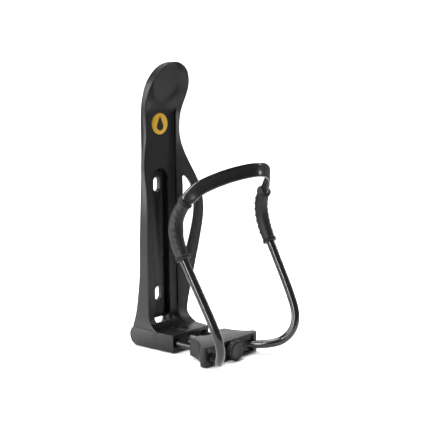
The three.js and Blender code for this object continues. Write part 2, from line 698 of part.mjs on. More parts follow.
function sleeve() {
  const sides = 16;
  const low = SLEEVE_BOTTOM + COLLAR_LENGTH;
  const high = SLEEVE_TOP - COLLAR_LENGTH;
  const step = 0.35;
  const outer = [
    [stationAtHeight(SLEEVE_BOTTOM), COLLAR_RADIUS], [stationAtHeight(low), COLLAR_RADIUS],
    [stationAtHeight(low + step), SLEEVE_RADIUS],
    ...armStations(low + 2 * step, high - 2 * step).map((s) => [s, SLEEVE_RADIUS]),
    [stationAtHeight(high - step), SLEEVE_RADIUS],
    [stationAtHeight(high), COLLAR_RADIUS], [stationAtHeight(SLEEVE_TOP), COLLAR_RADIUS],
  ];
  const bore = armStations(SLEEVE_BOTTOM - 4, SLEEVE_TOP + 4)
    .map((s) => tubeRing(s, BORE_GAP));
  return cut(loft(outer.map(([s, r]) => ring(s, r, r, sides)).reverse()), loft(bore.reverse()));
}

// ---------------------------------------------------------------- carriage

function carriagePlan() {
  const shape = new THREE.Shape();
  const corner = CARRIAGE_CORNER;
  const [front, back] = [CARRIAGE_FRONT, CARRIAGE_BACK];
  const [wide, narrow] = [CARRIAGE_FRONT_HALF, CARRIAGE_BACK_HALF];
  shape.moveTo(-narrow + corner, back);
  shape.quadraticCurveTo(-narrow, back, -narrow - 0.1, back - corner);
  shape.bezierCurveTo(-narrow - 0.6, back - 8, -wide + 4.4, back - 12.5, -wide, front + 1.5 * corner);
  shape.quadraticCurveTo(-wide, front, -wide + corner, front);
  shape.lineTo(wide - corner, front);
  shape.quadraticCurveTo(wide, front, wide, front + 1.5 * corner);
  shape.bezierCurveTo(wide - 4.4, back - 12.5, narrow + 0.6, back - 8, narrow + 0.1, back - corner);
  shape.quadraticCurveTo(narrow, back, narrow - corner, back);
  return shape;
}

// Side view, which gives the underside its slope and the top its rounded back edge.
function carriageSide() {
  const shape = new THREE.Shape();
  shape.moveTo(CARRIAGE_FRONT, CARRIAGE_TOP);
  shape.lineTo(CARRIAGE_FRONT, carriageBottom);
  shape.lineTo(CARRIAGE_BACK + 0.6, carriageBottom + CARRIAGE_RISE);
  shape.lineTo(CARRIAGE_BACK + 0.6, CARRIAGE_TOP - 0.8);
  shape.quadraticCurveTo(CARRIAGE_BACK + 0.2, CARRIAGE_TOP, CARRIAGE_BACK - 0.8, CARRIAGE_TOP);
  return shape;
}

function carriageBlock() {
  return extrudeAlongZ(carriagePlan(), carriageBottom, CARRIAGE_TOP)
    .intersect(extrudeAlongX(carriageSide(), CARRIAGE_FRONT_HALF + 1));
}

// Room for the tube's right end.
function tubeBore() {
  const radius = TUBE_RADIUS + BORE_GAP;
  const end = tubeStations[0];
  const behind = {
    ...end, place: end.place.clone().add(v3(-SEAT_GAP, 0, 0)),
  };
  const out = tubeStations.filter((s) => s.place.z < -50 && s.place.y > -66);
  return loft([behind, ...out].reverse().map((s) => ring(s, radius, radius, 12)));
}

const coverScrewHeadBack = CARRIAGE_BACK - COVER_SCREW_SINK;
const bossEnd = coverBack + SCREW_BOSS_LENGTH;

function carriageHousing() {
  const coverLow = carriageBottom + HOOD_WALL;
  const coverHigh = CARRIAGE_TOP - HOOD_WALL;
  const coverHalf = COVER_HALF_WIDTH + SEAT_GAP;
  const recess = block(
    [-coverHalf, CARRIAGE_FRONT - 1, coverLow], [coverHalf, coverBack + SEAT_GAP, coverHigh],
  );
  const scoopCentre = CARRIAGE_BACK - SCOOP_DEPTH + SCOOP_RADIUS;
  const scoop = extrudeAlongZ(
    new THREE.Shape().absarc(0, scoopCentre, SCOOP_RADIUS, 0, 2 * Math.PI), -70, -40, 10,
  );
  const clipRoom = rodAlongY(
    0, DRIVE_HEIGHT, SCREW_GROOVE_RADIUS + CLIP_RING + SEAT_GAP,
    COVER_FRONT, screwClipFront + CLIP_THICKNESS + SEAT_GAP,
  );
  const screwBore = rodAlongY(
    0, DRIVE_HEIGHT, SCREW_RADIUS + BORE_GAP, COVER_FRONT, CARRIAGE_BACK + 1,
  );
  const cuts = [recess, scoop, clipRoom, screwBore, tubeBore(), mirrored(tubeBore())];
  for (const side of [-1, 1]) {
    const [x, z] = [side * coverScrewSpread, COVER_SCREW_HEIGHT];
    cuts.push(rodAlongY(
      side * ROD_SPREAD, DRIVE_HEIGHT, ROD_RADIUS + SEAT_GAP, ROD_HEAD - SEAT_GAP, CARRIAGE_BACK + 1,
    ));
    cuts.push(rodAlongY(x, z, SCREW_BOSS_RADIUS + SEAT_GAP, coverBack, bossEnd + SEAT_GAP, 16));
    cuts.push(rodAlongY(x, z, COVER_SCREW_RADIUS + SEAT_GAP, bossEnd - 1, CARRIAGE_BACK, 16));
    cuts.push(rodAlongY(
      x, z, COVER_SCREW_HEAD_RADIUS + SEAT_GAP,
      coverScrewHeadBack - COVER_SCREW_HEAD_LENGTH - SEAT_GAP, CARRIAGE_BACK + 1, 16,
    ));
  }
  return cut(carriageBlock(), ...cuts);
}

function carriageCover() {
  const inset = HOOD_WALL + SEAT_GAP;
  const plate = block(
    [-COVER_HALF_WIDTH, COVER_FRONT, carriageBottom + inset],
    [COVER_HALF_WIDTH, coverBack, CARRIAGE_TOP - inset],
  );
  const bosses = [];
  const holes = [rodAlongY(
    0, DRIVE_HEIGHT, SCREW_RADIUS + BORE_GAP, COVER_FRONT - 1, coverBack + 1,
  )];
  for (const side of [-1, 1]) {
    const [x, z] = [side * coverScrewSpread, COVER_SCREW_HEIGHT];
    bosses.push(rodAlongY(x, z, SCREW_BOSS_RADIUS, coverBack - 0.5, bossEnd, 16));
    holes.push(rodAlongY(x, z, COVER_SCREW_RADIUS + 0.12, coverBack - 0.5, bossEnd + 1, 16));
  }
  return cut(union(plate, ...bosses), ...holes, tubeBore(), mirrored(tubeBore()));
}

function coverScrew(side) {
  const head = coverScrewHeadBack;
  const neck = head - COVER_SCREW_HEAD_LENGTH;
  const radius = COVER_SCREW_RADIUS;
  return turned([
    [0, coverBack - 0.2], [radius - 0.5, coverBack - 0.2], [radius, coverBack + 0.6],
    [radius, neck], [COVER_SCREW_HEAD_RADIUS, neck], [COVER_SCREW_HEAD_RADIUS, head - 0.5],
    [COVER_SCREW_HEAD_RADIUS - 0.5, head], [0, head],
  ], side * coverScrewSpread, COVER_SCREW_HEIGHT, 16);
}

// ---------------------------------------------------------------- materials and assembly

function finish(color, roughness, metalness = 0) {
  return new THREE.MeshStandardMaterial({ color, roughness, metalness });
}

const moulded = () => finish(0x2c2c2d, 0.55);
const softBlack = () => finish(0x232324, 0.9);
const blackMetal = () => finish(0x1c1c1e, 0.28, 0.6);
const steel = () => finish(0xa8abb0, 0.35, 1);
const darkSteel = () => finish(0x3a3a3d, 0.4, 1);

function piece(name, solid, material) {
  const mesh = new THREE.Mesh(toGeometry(solid), material);
  mesh.name = name;
  return mesh;
}

const fixed = new THREE.Group();
fixed.add(
  piece('backplate', backplate(), moulded()),
  piece('badge', badge(), finish(0xf6c23a, 0.4)),
  piece('drive_nut', driveNut(), steel()),
);

const rightSleeve = sleeve();
const carriage = new THREE.Group();
carriage.add(
  piece('carriage_housing', carriageHousing(), moulded()),
  piece('carriage_cover', carriageCover(), moulded()),
  piece('cover_screw_left', coverScrew(-1), darkSteel()),
  piece('cover_screw_right', coverScrew(1), darkSteel()),
  piece('guide_rod_left', guideRod(-1), darkSteel()),
  piece('guide_rod_right', guideRod(1), darkSteel()),
  piece('rod_clip_left', rodClip(-1), darkSteel()),
  piece('rod_clip_right', rodClip(1), darkSteel()),
  piece('thrust_washer', thrustWasher(), steel()),
  piece('cage_tube', cageTube(), blackMetal()),
  piece('sleeve_left', mirrored(rightSleeve), softBlack()),
  piece('sleeve_right', rightSleeve, softBlack()),
);

const drive = new THREE.Group();
drive.add(
  piece('knob', knob(), moulded()),
  piece('adjusting_screw', adjustingScrew(), steel()),
  piece('screw_clip', retainingRing(0, SCREW_GROOVE_RADIUS, screwClipFront), darkSteel()),
);

const group = new THREE.Group();
group.add(fixed, carriage, drive);

export default group;
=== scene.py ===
# %% [markdown]
# # An adjustable water bottle cage
# The object is a moulded black backplate with a foot, a small carriage that slides on two rods in
# front of the foot, and a painted tube that reaches from the carriage round the front of a bottle.
# The CAD frame gives the places and the moving bodies. Here each visible piece is made again with a
# finer surface, its rounded edges and its real finish.

# %% Load the frame
import math

import bmesh
import bpy
from mathutils import Matrix, Vector


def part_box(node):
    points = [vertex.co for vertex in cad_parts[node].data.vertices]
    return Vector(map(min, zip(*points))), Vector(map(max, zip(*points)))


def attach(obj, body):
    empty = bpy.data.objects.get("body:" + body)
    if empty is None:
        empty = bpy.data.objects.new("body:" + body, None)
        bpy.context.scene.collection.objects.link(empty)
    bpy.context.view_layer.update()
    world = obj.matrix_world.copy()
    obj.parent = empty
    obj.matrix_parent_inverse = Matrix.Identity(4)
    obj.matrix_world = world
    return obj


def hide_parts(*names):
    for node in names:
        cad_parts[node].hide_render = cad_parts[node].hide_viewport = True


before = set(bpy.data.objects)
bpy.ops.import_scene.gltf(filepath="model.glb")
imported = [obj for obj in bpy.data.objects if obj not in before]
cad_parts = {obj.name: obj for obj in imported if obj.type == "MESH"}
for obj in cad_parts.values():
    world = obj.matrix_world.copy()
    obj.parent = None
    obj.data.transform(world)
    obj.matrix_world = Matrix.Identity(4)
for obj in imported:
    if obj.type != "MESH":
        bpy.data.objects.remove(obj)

scene = bpy.context.scene
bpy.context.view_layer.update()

# %% [markdown]
# Everything below is drawn in millimetres, as on a maker's drawing, and scaled to metres when a
# piece is finished. The frame's boxes give the sizes that must agree with the moving bodies, so a
# change in the CAD carries through.

# %% Sizes from the frame
MM = 0.001


def box_mm(node):
    low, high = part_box(node)
    return low / MM, high / MM


plate_low, plate_high = box_mm("backplate")
housing_low, housing_high = box_mm("carriage_housing")
cover_low, cover_high = box_mm("carriage_cover")
knob_low, knob_high = box_mm("knob")
screw_low, screw_high = box_mm("adjusting_screw")
rod_low, rod_high = box_mm("guide_rod_right")
cover_screw = sum(box_mm("cover_screw_right"), Vector()) / 2
drive_z = (knob_low.z + knob_high.z) / 2
rod_x = (rod_low.x + rod_high.x) / 2
print("drive height", round(drive_z, 2), "rod spread", round(rod_x, 2))

# %% [markdown]
# ## Small helpers for building solids
# A bmesh operator does each step of the shaping: a flat outline is extruded into a prism, a half
# profile is spun into a turned part, and closed solids are joined or cut with the Boolean modifier.
# Working on closed solids keeps every surface sound, so that bevels and exports behave.


# %% Outlines, prisms and turned parts
def arc(centre, radius, start, end, steps):
    """Points along an arc; angles in degrees, anticlockwise."""
    angles = [math.radians(start + (end - start) * i / steps) for i in range(steps + 1)]
    return [(centre[0] + radius * math.cos(a), centre[1] + radius * math.sin(a)) for a in angles]


PLANES = {"X": (1, 2, 0), "Y": (0, 2, 1), "Z": (0, 1, 2)}


def lift(bm, faces, keep=False):
    """Extrude faces, and drop the ones left inside. Gives the new faces and their vertices."""
    lifted = bmesh.ops.extrude_face_region(bm, geom=faces)["geom"]
    if not keep:
        bmesh.ops.delete(bm, geom=faces, context="FACES")
    new_faces = [item for item in lifted if isinstance(item, bmesh.types.BMFace)]
    return new_faces, [item for item in lifted if isinstance(item, bmesh.types.BMVert)]


def prism(outline, axis, low, high):
    """Extrude a flat outline along an axis."""
    bm = bmesh.new()
    first, second, along = PLANES[axis]
    corners = []
    for point in outline:
        place = [0, 0, 0]
        place[first], place[second], place[along] = point[0], point[1], low
        corners.append(bm.verts.new(place))
    face = bm.faces.new(corners)
    _, top = lift(bm, [face], keep=True)
    step = Vector((0, 0, 0))
    step[along] = high - low
    bmesh.ops.translate(bm, vec=step, verts=top)
    bmesh.ops.recalc_face_normals(bm, faces=bm.faces)
    return bm


def block(low, high):
    size = Vector(high) - Vector(low)
    bm = bmesh.new()
    bmesh.ops.create_cube(bm, size=1)
    bmesh.ops.scale(bm, vec=size, verts=bm.verts)
    bmesh.ops.translate(bm, vec=Vector(low) + size / 2, verts=bm.verts)
    return bm


def turned(profile, x, z, steps=64):
    """Spin a half profile of (radius, y) points, closed on the axis, about a line along Y."""
    bm = bmesh.new()
    points = [bm.verts.new((radius, y, 0)) for radius, y in profile]
    for a, b in zip(points, points[1:]):
        bm.edges.new((a, b))
    bmesh.ops.spin(
        bm, geom=bm.verts[:] + bm.edges[:], cent=(0, 0, 0), axis=(0, 1, 0),
        angle=2 * math.pi, steps=steps, use_merge=True,
    )
    bmesh.ops.remove_doubles(bm, verts=bm.verts, dist=1e-4)
    bmesh.ops.recalc_face_normals(bm, faces=bm.faces)
    bmesh.ops.translate(bm, vec=(x, 0, z), verts=bm.verts)
    return bm


def pin(x, z, radius, y0, y1, steps=48):
    return turned([(0, y0), (radius, y0), (radius, y1), (0, y1)], x, z, steps)


def mirrored(bm):
    copy = bm.copy()
    bmesh.ops.scale(copy, vec=(-1, 1, 1), verts=copy.verts)
    bmesh.ops.reverse_faces(copy, faces=copy.faces)
    return copy


# %% Joining, cutting and rounding
def loose_object(bm):
    mesh = bpy.data.meshes.new("tool")
    bm.to_mesh(mesh)
    bm.free()
    tool = bpy.data.objects.new("tool", mesh)
    scene.collection.objects.link(tool)
    return tool


def combine(base, tools, operation):
    """Join or cut closed solids, and give back the result as a bmesh."""
    body = loose_object(base)
    helpers = [loose_object(tool) for tool in tools]
    for helper in helpers:
        step = body.modifiers.new(operation.lower(), "BOOLEAN")
        step.object = helper
        step.operation = operation
        step.solver = "MANIFOLD"
    depsgraph = bpy.context.evaluated_depsgraph_get()
    result = bmesh.new()
    result.from_object(body, depsgraph)
    for item in [body] + helpers:
        mesh = item.data
        bpy.data.objects.remove(item)
        bpy.data.meshes.remove(mesh)
    return result


def join(base, *tools):
    return combine(base, tools, "UNION")


def cut(base, *tools):
    return combine(base, tools, "DIFFERENCE")


def common(base, *tools):
    return combine(base, tools, "INTERSECT")


def sharp_edges(bm, degrees=25):
    limit = math.radians(degrees)
    return [e for e in bm.edges if len(e.link_faces) == 2 and e.calc_face_angle(0) > limit]


def soften(bm, width, segments=2):
    """Round the sharp edges of a solid, as a mould or a tumbled part has them."""
    bmesh.ops.dissolve_limit(
        bm, angle_limit=math.radians(0.5), verts=bm.verts[:], edges=bm.edges[:],
    )
    bmesh.ops.bevel(
        bm, geom=sharp_edges(bm), offset=width, offset_type="OFFSET", segments=segments,
        profile=0.5, affect="EDGES", material=-1, clamp_overlap=True,
    )
    return bm


# %% Turning a solid into a finished piece
def finished(name, bm, body, material, replaces=(), sharp=32):
    bmesh.ops.remove_doubles(bm, verts=bm.verts, dist=2e-3)
    bmesh.ops.dissolve_degenerate(bm, edges=bm.edges, dist=1e-3)
    bmesh.ops.scale(bm, vec=(MM, MM, MM), verts=bm.verts)
    mesh = bpy.data.meshes.new(name)
    bm.to_mesh(mesh)
    bm.free()
    mesh.shade_smooth()
    mesh.set_sharp_from_angle(angle=math.radians(sharp))
    mesh.materials.clear()
    mesh.materials.append(material)
    obj = bpy.data.objects.new(name, mesh)
    scene.collection.objects.link(obj)
    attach(obj, body)
    if replaces:
        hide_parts(*replaces)
    print(f"{name}: {len(mesh.vertices)} vertices, {len(mesh.polygons)} faces")


# %% [markdown]
# ## Writing materials as sums
# A material is a small calculation over the surface. `Wire` wraps a socket, so that `1 - mask` or
# `grain * 0.2` adds the Math node for it, and `Paint.node` adds any other node. Numbers that are the
# same all over go straight onto the shader's own socket.


# %% Wire and Paint
class Wire:
    def __init__(self, paint, socket):
        self.paint = paint
        self.socket = socket

    def maths(self, operation, other, swap=False):
        pair = [other, self] if swap else [self, other]
        inputs = dict(enumerate(pair))
        return self.paint.node("ShaderNodeMath", {"operation": operation}, inputs)("Value")

    def __add__(self, other):
        return self.maths("ADD", other)

    __radd__ = __add__

    def __sub__(self, other):
        return self.maths("SUBTRACT", other)

    def __rsub__(self, other):
        return self.maths("SUBTRACT", other, swap=True)

    def __mul__(self, other):
        return self.maths("MULTIPLY", other)

    __rmul__ = __mul__

    def __pow__(self, other):
        return self.maths("POWER", other)


class Paint:
    """A material under construction, with its Principled shader ready."""

    def __init__(self, name):
        self.material = bpy.data.materials.new(name)
        self.material.use_nodes = True
        self.tree = self.material.node_tree
        self.shader = self.tree.nodes["Principled BSDF"]
        self.place = self.node("ShaderNodeTexCoord")("Object")

    def node(self, kind, settings=None, inputs=None):
        made = self.tree.nodes.new(kind)
        for key, value in (settings or {}).items():
            setattr(made, key, value)
        for key, value in (inputs or {}).items():
            self.feed(made.inputs[key], value)
        return lambda output: Wire(self, made.outputs[output])

    def feed(self, socket, value):
        if isinstance(value, Wire):
            self.tree.links.new(value.socket, socket)
        else:
            socket.default_value = value

    def set(self, **sockets):
        for key, value in sockets.items():
            self.feed(self.shader.inputs[key.replace("_", " ")], value)

    def noise(self, scale, detail=3.0, roughness=0.5, stretch=(1, 1, 1)):
        mapped = self.node("ShaderNodeMapping", None, {"Vector": self.place, "Scale": stretch})
        inputs = {"Vector": mapped("Vector"), "Scale": scale, "Detail": detail, "Roughness": roughness}
        return self.node("ShaderNodeTexNoise", None, inputs)("Fac")

    def ramp(self, value, low, high):
        inputs = {"Value": value, 1: low, 2: high}
        return self.node("ShaderNodeMapRange", {"interpolation_type": "SMOOTHSTEP"}, inputs)("Result")

    def mix(self, factor, first, second):
        inputs = {0: factor, 6: first, 7: second}
        return self.node("ShaderNodeMix", {"data_type": "RGBA"}, inputs)(2)

    def bump(self, height, strength, distance):
        inputs = {"Height": height, "Strength": strength, "Distance": distance}
        return self.node("ShaderNodeBump", None, inputs)("Normal")


def grey(level):
    return (level, level, level * 1.02, 1)


# %% [markdown]
# ## Finishes
# The moulded parts are glass-filled nylon: satin black, with a very fine sand-like texture from the
# mould and slightly smoother, greyer patches where it has been handled. The texture is a fine noise
# that drives a small bump, and a broad noise changes the roughness.


# %% Moulded plastic
def moulded_plastic(name, level=0.008, rough=0.33):
    paint = Paint(name)
    grain = paint.noise(2600, 2.0)
    cloud = paint.noise(45, 4.0, 0.6)
    rubbed = paint.ramp(paint.noise(130, 5.0, 0.65), 0.52, 0.72)
    paint.set(
        Base_Color=paint.mix(rubbed * 0.5 + cloud * 0.3, grey(level), grey(level * 1.8)),
        Roughness=rough + cloud * 0.12 - rubbed * 0.06 + grain * 0.06,
        Normal=paint.bump(grain, 0.22, 0.0001),
        IOR=1.5,
    )
    return paint.material


plastic = moulded_plastic("moulded_plastic")
plastic_smooth = moulded_plastic("smooth_moulded_plastic", 0.010, 0.28)

# %% [markdown]
# The tube is aluminium with a gloss black coating. A thin clear layer gives the long sharp
# highlights, and a slow ripple in it, called orange peel, keeps them from looking drawn on.


# %% Gloss coating on the tube
def gloss_coating(name):
    paint = Paint(name)
    peel = paint.noise(420, 2.0, 0.4)
    cloud = paint.noise(70, 3.0)
    paint.set(
        Base_Color=paint.mix(cloud, grey(0.006), grey(0.012)),
        Roughness=0.2 + cloud * 0.08,
        Coat_Weight=0.6,
        Coat_Roughness=0.08,
        Normal=paint.bump(peel, 0.06, 0.0003),
    )
    return paint.material


coating = gloss_coating("gloss_coating")

# %% [markdown]
# The sleeves are dull rubber, with a coarser, softer texture than the plastic and dusty highs.


# %% Rubber
def rubber(name):
    paint = Paint(name)
    grain = paint.noise(1500, 3.0, 0.6)
    dust = paint.ramp(paint.noise(160, 4.0, 0.6), 0.45, 0.75)
    paint.set(
        Base_Color=paint.mix(dust, grey(0.008), grey(0.016)),
        Roughness=0.45 + grain * 0.12 + dust * 0.08,
        Normal=paint.bump(grain, 0.35, 0.00015),
    )
    return paint.material


sleeve_rubber = rubber("sleeve_rubber")

# %% [markdown]
# Steel shows the marks of its making. Fine streaks run round the turned parts, so the noise is
# squeezed along Y, which is the axis of every rod and screw here.


# %% Steel
def steel(name, level, rough, tone=0.25):
    paint = Paint(name)
    streak = paint.noise(300, 3.0, 0.6, (1, 12, 1))
    stain = paint.noise(90, 3.0)
    paint.set(
        Base_Color=paint.mix(stain, grey(level), grey(level * (1 + tone))),
        Metallic=1.0,
        Roughness=rough + streak * 0.14,
        Normal=paint.bump(streak, 0.12, 0.00005),
    )
    return paint.material


zinc_steel = steel("zinc_steel", 0.52, 0.24)
black_steel = steel("black_steel", 0.05, 0.28)

# %% [markdown]
# The badge is a printed disc. Its mark is a plain water drop: a half circle below and a taper above,
# found from the distance to the drop's middle line, so that it stays sharp at any size.


# %% Printed badge
badge_low, badge_high = box_mm("badge")
badge_middle = (badge_low + badge_high) / 2 * MM


def printed_badge(name):
    paint = Paint(name)
    centred = paint.node(
        "ShaderNodeMapping", {"vector_type": "TEXTURE"},
        {"Vector": paint.place, "Location": badge_middle},
    )
    split = paint.node("ShaderNodeSeparateXYZ", None, {0: centred("Vector")})
    across, up = split("X"), split("Z")
    round_end = up - -0.0013
    below = round_end.maths("MINIMUM", 0.0)
    taper = 1 - round_end.maths("MAXIMUM", 0.0) * (1 / 0.0055)
    half = 0.0026 * taper.maths("MAXIMUM", 0.0) ** 0.8
    distance = (across * across + below * below) ** 0.5
    drop = 1 - paint.ramp(distance - half, -0.00006, 0.00006)
    fleck = paint.noise(3000, 2.0)
    yellow = paint.mix(fleck * 0.25, (0.93, 0.53, 0.035, 1), (0.8, 0.42, 0.03, 1))
    paint.set(
        Base_Color=paint.mix(drop, yellow, grey(0.012)),
        Roughness=0.32 + fleck * 0.1,
        Coat_Weight=0.2,
        Coat_Roughness=0.15,
    )
    return paint.material


badge_print = printed_badge("badge_print")

# %% [markdown]
# ## The backplate
# One large moulding: a flat panel against the bottle, flanks that fold forward on both sides, a
# spoon-shaped tongue at the top and a foot below. Its skin starts as a flat grid. Each point of the
# grid is moved to its place on the front surface, the sheet is extruded backwards for its
# thickness, and a subdivision surface smooths it.
#
# These are the driving sizes. A table gives, at a few heights, how far the edge of a flank stands in
# front of the panel and how deep that edge is; a smooth curve through them fills the rest.

# %% Sizes of the plate
PANEL_FRONT = -6.1
PANEL_HALF = 12.0
WALL = 3.0
SHOULDER = 84.5
TONGUE_HALF = 15.25
TONGUE_HEIGHT = 16.6
FOOT_TOP = -49.6
FOOT_BOTTOM = -59.6
FOOT_FRONT = -29.0
FILLET = 7.0
FLANK_REACH = [
    (-50, 6.5), (-42, 5.2), (-20, 8.0), (0, 10.8), (18, 12.7), (31, 11.0), (41, 7.2), (47, 5.1),
    (54, 3.7), (65, 3.0), (76, 3.6), (88, 4.4), (102, 4.4),
]
EDGE_DEPTH = [
    (-50, 14.6), (-42, 11.0), (-30, 8.6), (-16, 7.0), (18, 5.8), (31, 4.5), (41, 3.0), (65, 2.8),
    (74, 3.5), (88, 4.9), (102, 5.3),
]
SIDE_CURVES = [
    [(15.25, 84.5), (15.25, 75.5), (13.3, 74.0), (13.3, 62.0)],
    [(13.3, 62.0), (13.3, 51.0), (22.55, 41.0), (22.55, 18.0)],
    [(22.55, 18.0), (22.55, 4.0), (18.1, -20.0), (15.7, -42.0)],
    [(15.7, -42.0), (15.6, -44.0), (15.9, -48.0), (16.2, -51.0)],
]


# %% Smooth curves through the sizes
def smooth(x, low, high):
    t = min(1.0, max(0.0, (x - low) / (high - low)))
    return t * t * (3 - 2 * t)


def through(table, z):
    """A smooth curve through (height, value) rows."""
    z = min(max(z, table[0][0]), table[-1][0])
    i = max(k for k in range(len(table) - 1) if table[k][0] <= z)
    slope = []
    for k in (i, i + 1):
        before, after = table[max(k - 1, 0)], table[min(k + 1, len(table) - 1)]
        slope.append((after[1] - before[1]) / (after[0] - before[0]))
    (z0, a), (z1, b) = table[i], table[i + 1]
    span = z1 - z0
    t = (z - z0) / span
    return (
        a * (1 + 2 * t) * (1 - t) ** 2 + b * t * t * (3 - 2 * t)
        + span * (slope[0] * t * (1 - t) ** 2 - slope[1] * t * t * (1 - t))
    )


def bezier(points, t):
    s = 1 - t
    weights = (s ** 3, 3 * s * s * t, 3 * s * t * t, t ** 3)
    return tuple(sum(w * p[axis] for w, p in zip(weights, points)) for axis in (0, 1))


def half_width(z):
    """Half the plate's width at a height at or below the shoulder."""
    for points in SIDE_CURVES:
        if z >= points[3][1]:
            break
    low, high = 0.0, 1.0
    for _ in range(24):
        middle = (low + high) / 2
        if bezier(points, middle)[1] > z:
            low = middle
        else:
            high = middle
    return bezier(points, low)[0]


# %% Front and back surfaces of the plate
TONGUE_BEND = 75.5
BEND_LENGTH = 7.0
TONGUE_SLOPE = 0.365
OVAL_HALF = 9.2
OVAL_MIDDLE = 90.0
OVAL_HEIGHT = 10.4


def middle_at(z):
    past = z - TONGUE_BEND + BEND_LENGTH / 2
    bend = max(0.0, min(past, BEND_LENGTH))
    return PANEL_FRONT - (bend * bend / (2 * BEND_LENGTH) + max(0.0, past - BEND_LENGTH)) * TONGUE_SLOPE


def fillet_at(z):
    drop = min(FILLET - 0.01, max(0.0, FOOT_TOP + FILLET - z))
    return FILLET - math.sqrt(FILLET * FILLET - drop * drop)


def share_of_flank(x, z):
    """0 on the flat middle, rising to 1 at the outline."""
    x = abs(x)
    edge = half_width(min(z, SHOULDER))
    straight = max(0.0, (x - PANEL_HALF) / max(edge - PANEL_HALF, 0.5))
    if z < 72:
        return min(1.0, straight)
    outline = math.hypot(x / TONGUE_HALF, max(0.0, z - SHOULDER) / TONGUE_HEIGHT)
    if z < SHOULDER:
        outline = x / edge
    oval = math.hypot(x / OVAL_HALF, (z - OVAL_MIDDLE) / OVAL_HEIGHT)
    outside = max(0.0, oval - 1) * OVAL_HALF
    inside = max(0.0, 1 - outline) * TONGUE_HALF
    dish = outside / max(outside + inside, 1e-6)
    return min(1.0, straight + (dish - straight) * smooth(z, 72, 84))


def front_at(x, z):
    return middle_at(z) - fillet_at(z) - through(FLANK_REACH, z) * share_of_flank(x, z)


def back_at(x, z):
    share = share_of_flank(x, z)
    depth = WALL + (through(EDGE_DEPTH, z) - WALL) * smooth(share, 0.35, 0.62)
    return middle_at(z) - through(FLANK_REACH, z) * share + depth


# %% [markdown]
# The grid's columns follow the outline: four fifths of them cover the flat middle and the rest the
# flanks, with the last one a fixed step inside the edge so that the edge rounds the same all the way
# round. Above the shoulder the square grid is bent into a half disc, because a square grid can be
# mapped onto a disc with no pole and no seam.

# %% The grid of the plate
COLUMNS = 50
ROWS = 112
CREASE = 0.8
EDGE_STEP = 0.75
SHOULDER_ROW = 0.79


def plan_place(u, w):
    """From the grid's square to the plate's outline: (x, z)."""
    t = (w + 1) / 2
    side = math.copysign(1, u)
    if t <= SHOULDER_ROW:
        z = FOOT_TOP - 0.4 + (SHOULDER - FOOT_TOP + 0.4) * t / SHOULDER_ROW
        edge = half_width(z)
        blend = smooth(z, 66, 80)
        s = (abs(u) - CREASE) / (1 - CREASE)
        if s <= 0:
            x = abs(u) / CREASE * PANEL_HALF
        elif s < 0.999:
            x = PANEL_HALF + s / 0.8 * (edge - EDGE_STEP - PANEL_HALF)
        else:
            x = edge
        return side * (x + (abs(u) * edge - x) * blend), z
    v = (t - SHOULDER_ROW) / (1 - SHOULDER_ROW)
    return (
        TONGUE_HALF * u * math.sqrt(1 - v * v / 2),
        SHOULDER + TONGUE_HEIGHT * v * math.sqrt(1 - u * u / 2),
    )


def plate_skin():
    bm = bmesh.new()
    bmesh.ops.create_grid(bm, x_segments=COLUMNS, y_segments=ROWS, size=1)
    for v in bm.verts:
        x, z = plan_place(v.co.x, v.co.y)
        v.co = (x, front_at(x, z), z)
    sheet = bm.faces[:]
    for number, step in enumerate((0.7, -0.7, 0)):
        sheet, moved = lift(bm, sheet, keep=number == 0)
        for v in moved:
            if step > 0:
                v.co.y += step
            else:
                v.co.y = back_at(v.co.x, v.co.z) + step
    bmesh.ops.recalc_face_normals(bm, faces=bm.faces)
    rough = loose_object(bm)
    rounding = rough.modifiers.new("rounding", "SUBSURF")
    rounding.levels = rounding.render_levels = 1
    result = bmesh.new()
    result.from_object(rough, bpy.context.evaluated_depsgraph_get())
    bpy.data.objects.remove(rough)
    return result


# %% [markdown]
# ## Recesses of the backplate
# The channel for the bolt heads, the windows and the holes are cut with closed solids. Where a cut
# leaves the surface, a moulding has a small rounded lip, so each cutter is flared there: it has an
# extra ring just outside the surface.


# %% Cutters with a flared mouth
LIP = 0.35


def flared(outline, surface, depth, lip=LIP):
    """A cutter that follows a surface y = surface(x, z) and widens at it into a small lip. Its front
    cap is flat and stands clear of the surface."""
    count = len(outline)
    centre = Vector((sum(p[0] for p in outline), 0, sum(p[1] for p in outline))) / count
    outward = []
    for i in range(count):
        (x0, z0), (x1, z1) = outline[i - 1], outline[(i + 1) % count]
        outward.append(Vector((z1 - z0, 0, x0 - x1)).normalized())
    first = Vector((outline[0][0], 0, outline[0][1]))
    if (first - centre).dot(outward[0]) < 0:
        outward = [-side for side in outward]
    bm = bmesh.new()
    tag = bm.verts.layers.int.new("place")
    group = [bm.verts.new((x, 0, z)) for x, z in outline]
    for i, v in enumerate(group):
        v[tag] = i
    moving = [bm.faces.new(group)]
    in_front = min(surface(x, z) for x, z in outline) - 2
    rings = [
        (lip * 2.2, None), (lip * 2.2, -1.2 * lip), (lip, 0.0), (0.3 * lip, 0.3 * lip), (0.0, lip),
        (0.0, depth),
    ]
    for number, (wider, deeper) in enumerate(rings):
        if number:
            moving, group = lift(bm, moving, keep=number == 1)
        for v in group:
            x, z = outline[v[tag]]
            y = in_front if deeper is None else surface(x, z) + deeper
            v.co = (x + outward[v[tag]].x * wider, y, z + outward[v[tag]].z * wider)
    bmesh.ops.recalc_face_normals(bm, faces=bm.faces)
    return bm


def panel_surface(x, z):
    return PANEL_FRONT


# %% Channel with its raised pad and the two bolt slots
CHANNEL_HALF = 6.2
CHANNEL_TOP = 41.6
PAD_FRONT = -3.0
CHANNEL_FLOOR = -1.7
SPINE_TOP = 50.0
SPINE_WALL = 2.0
FRAME_TUBE_RADIUS = 22
SLOT_SPACING = 64.0


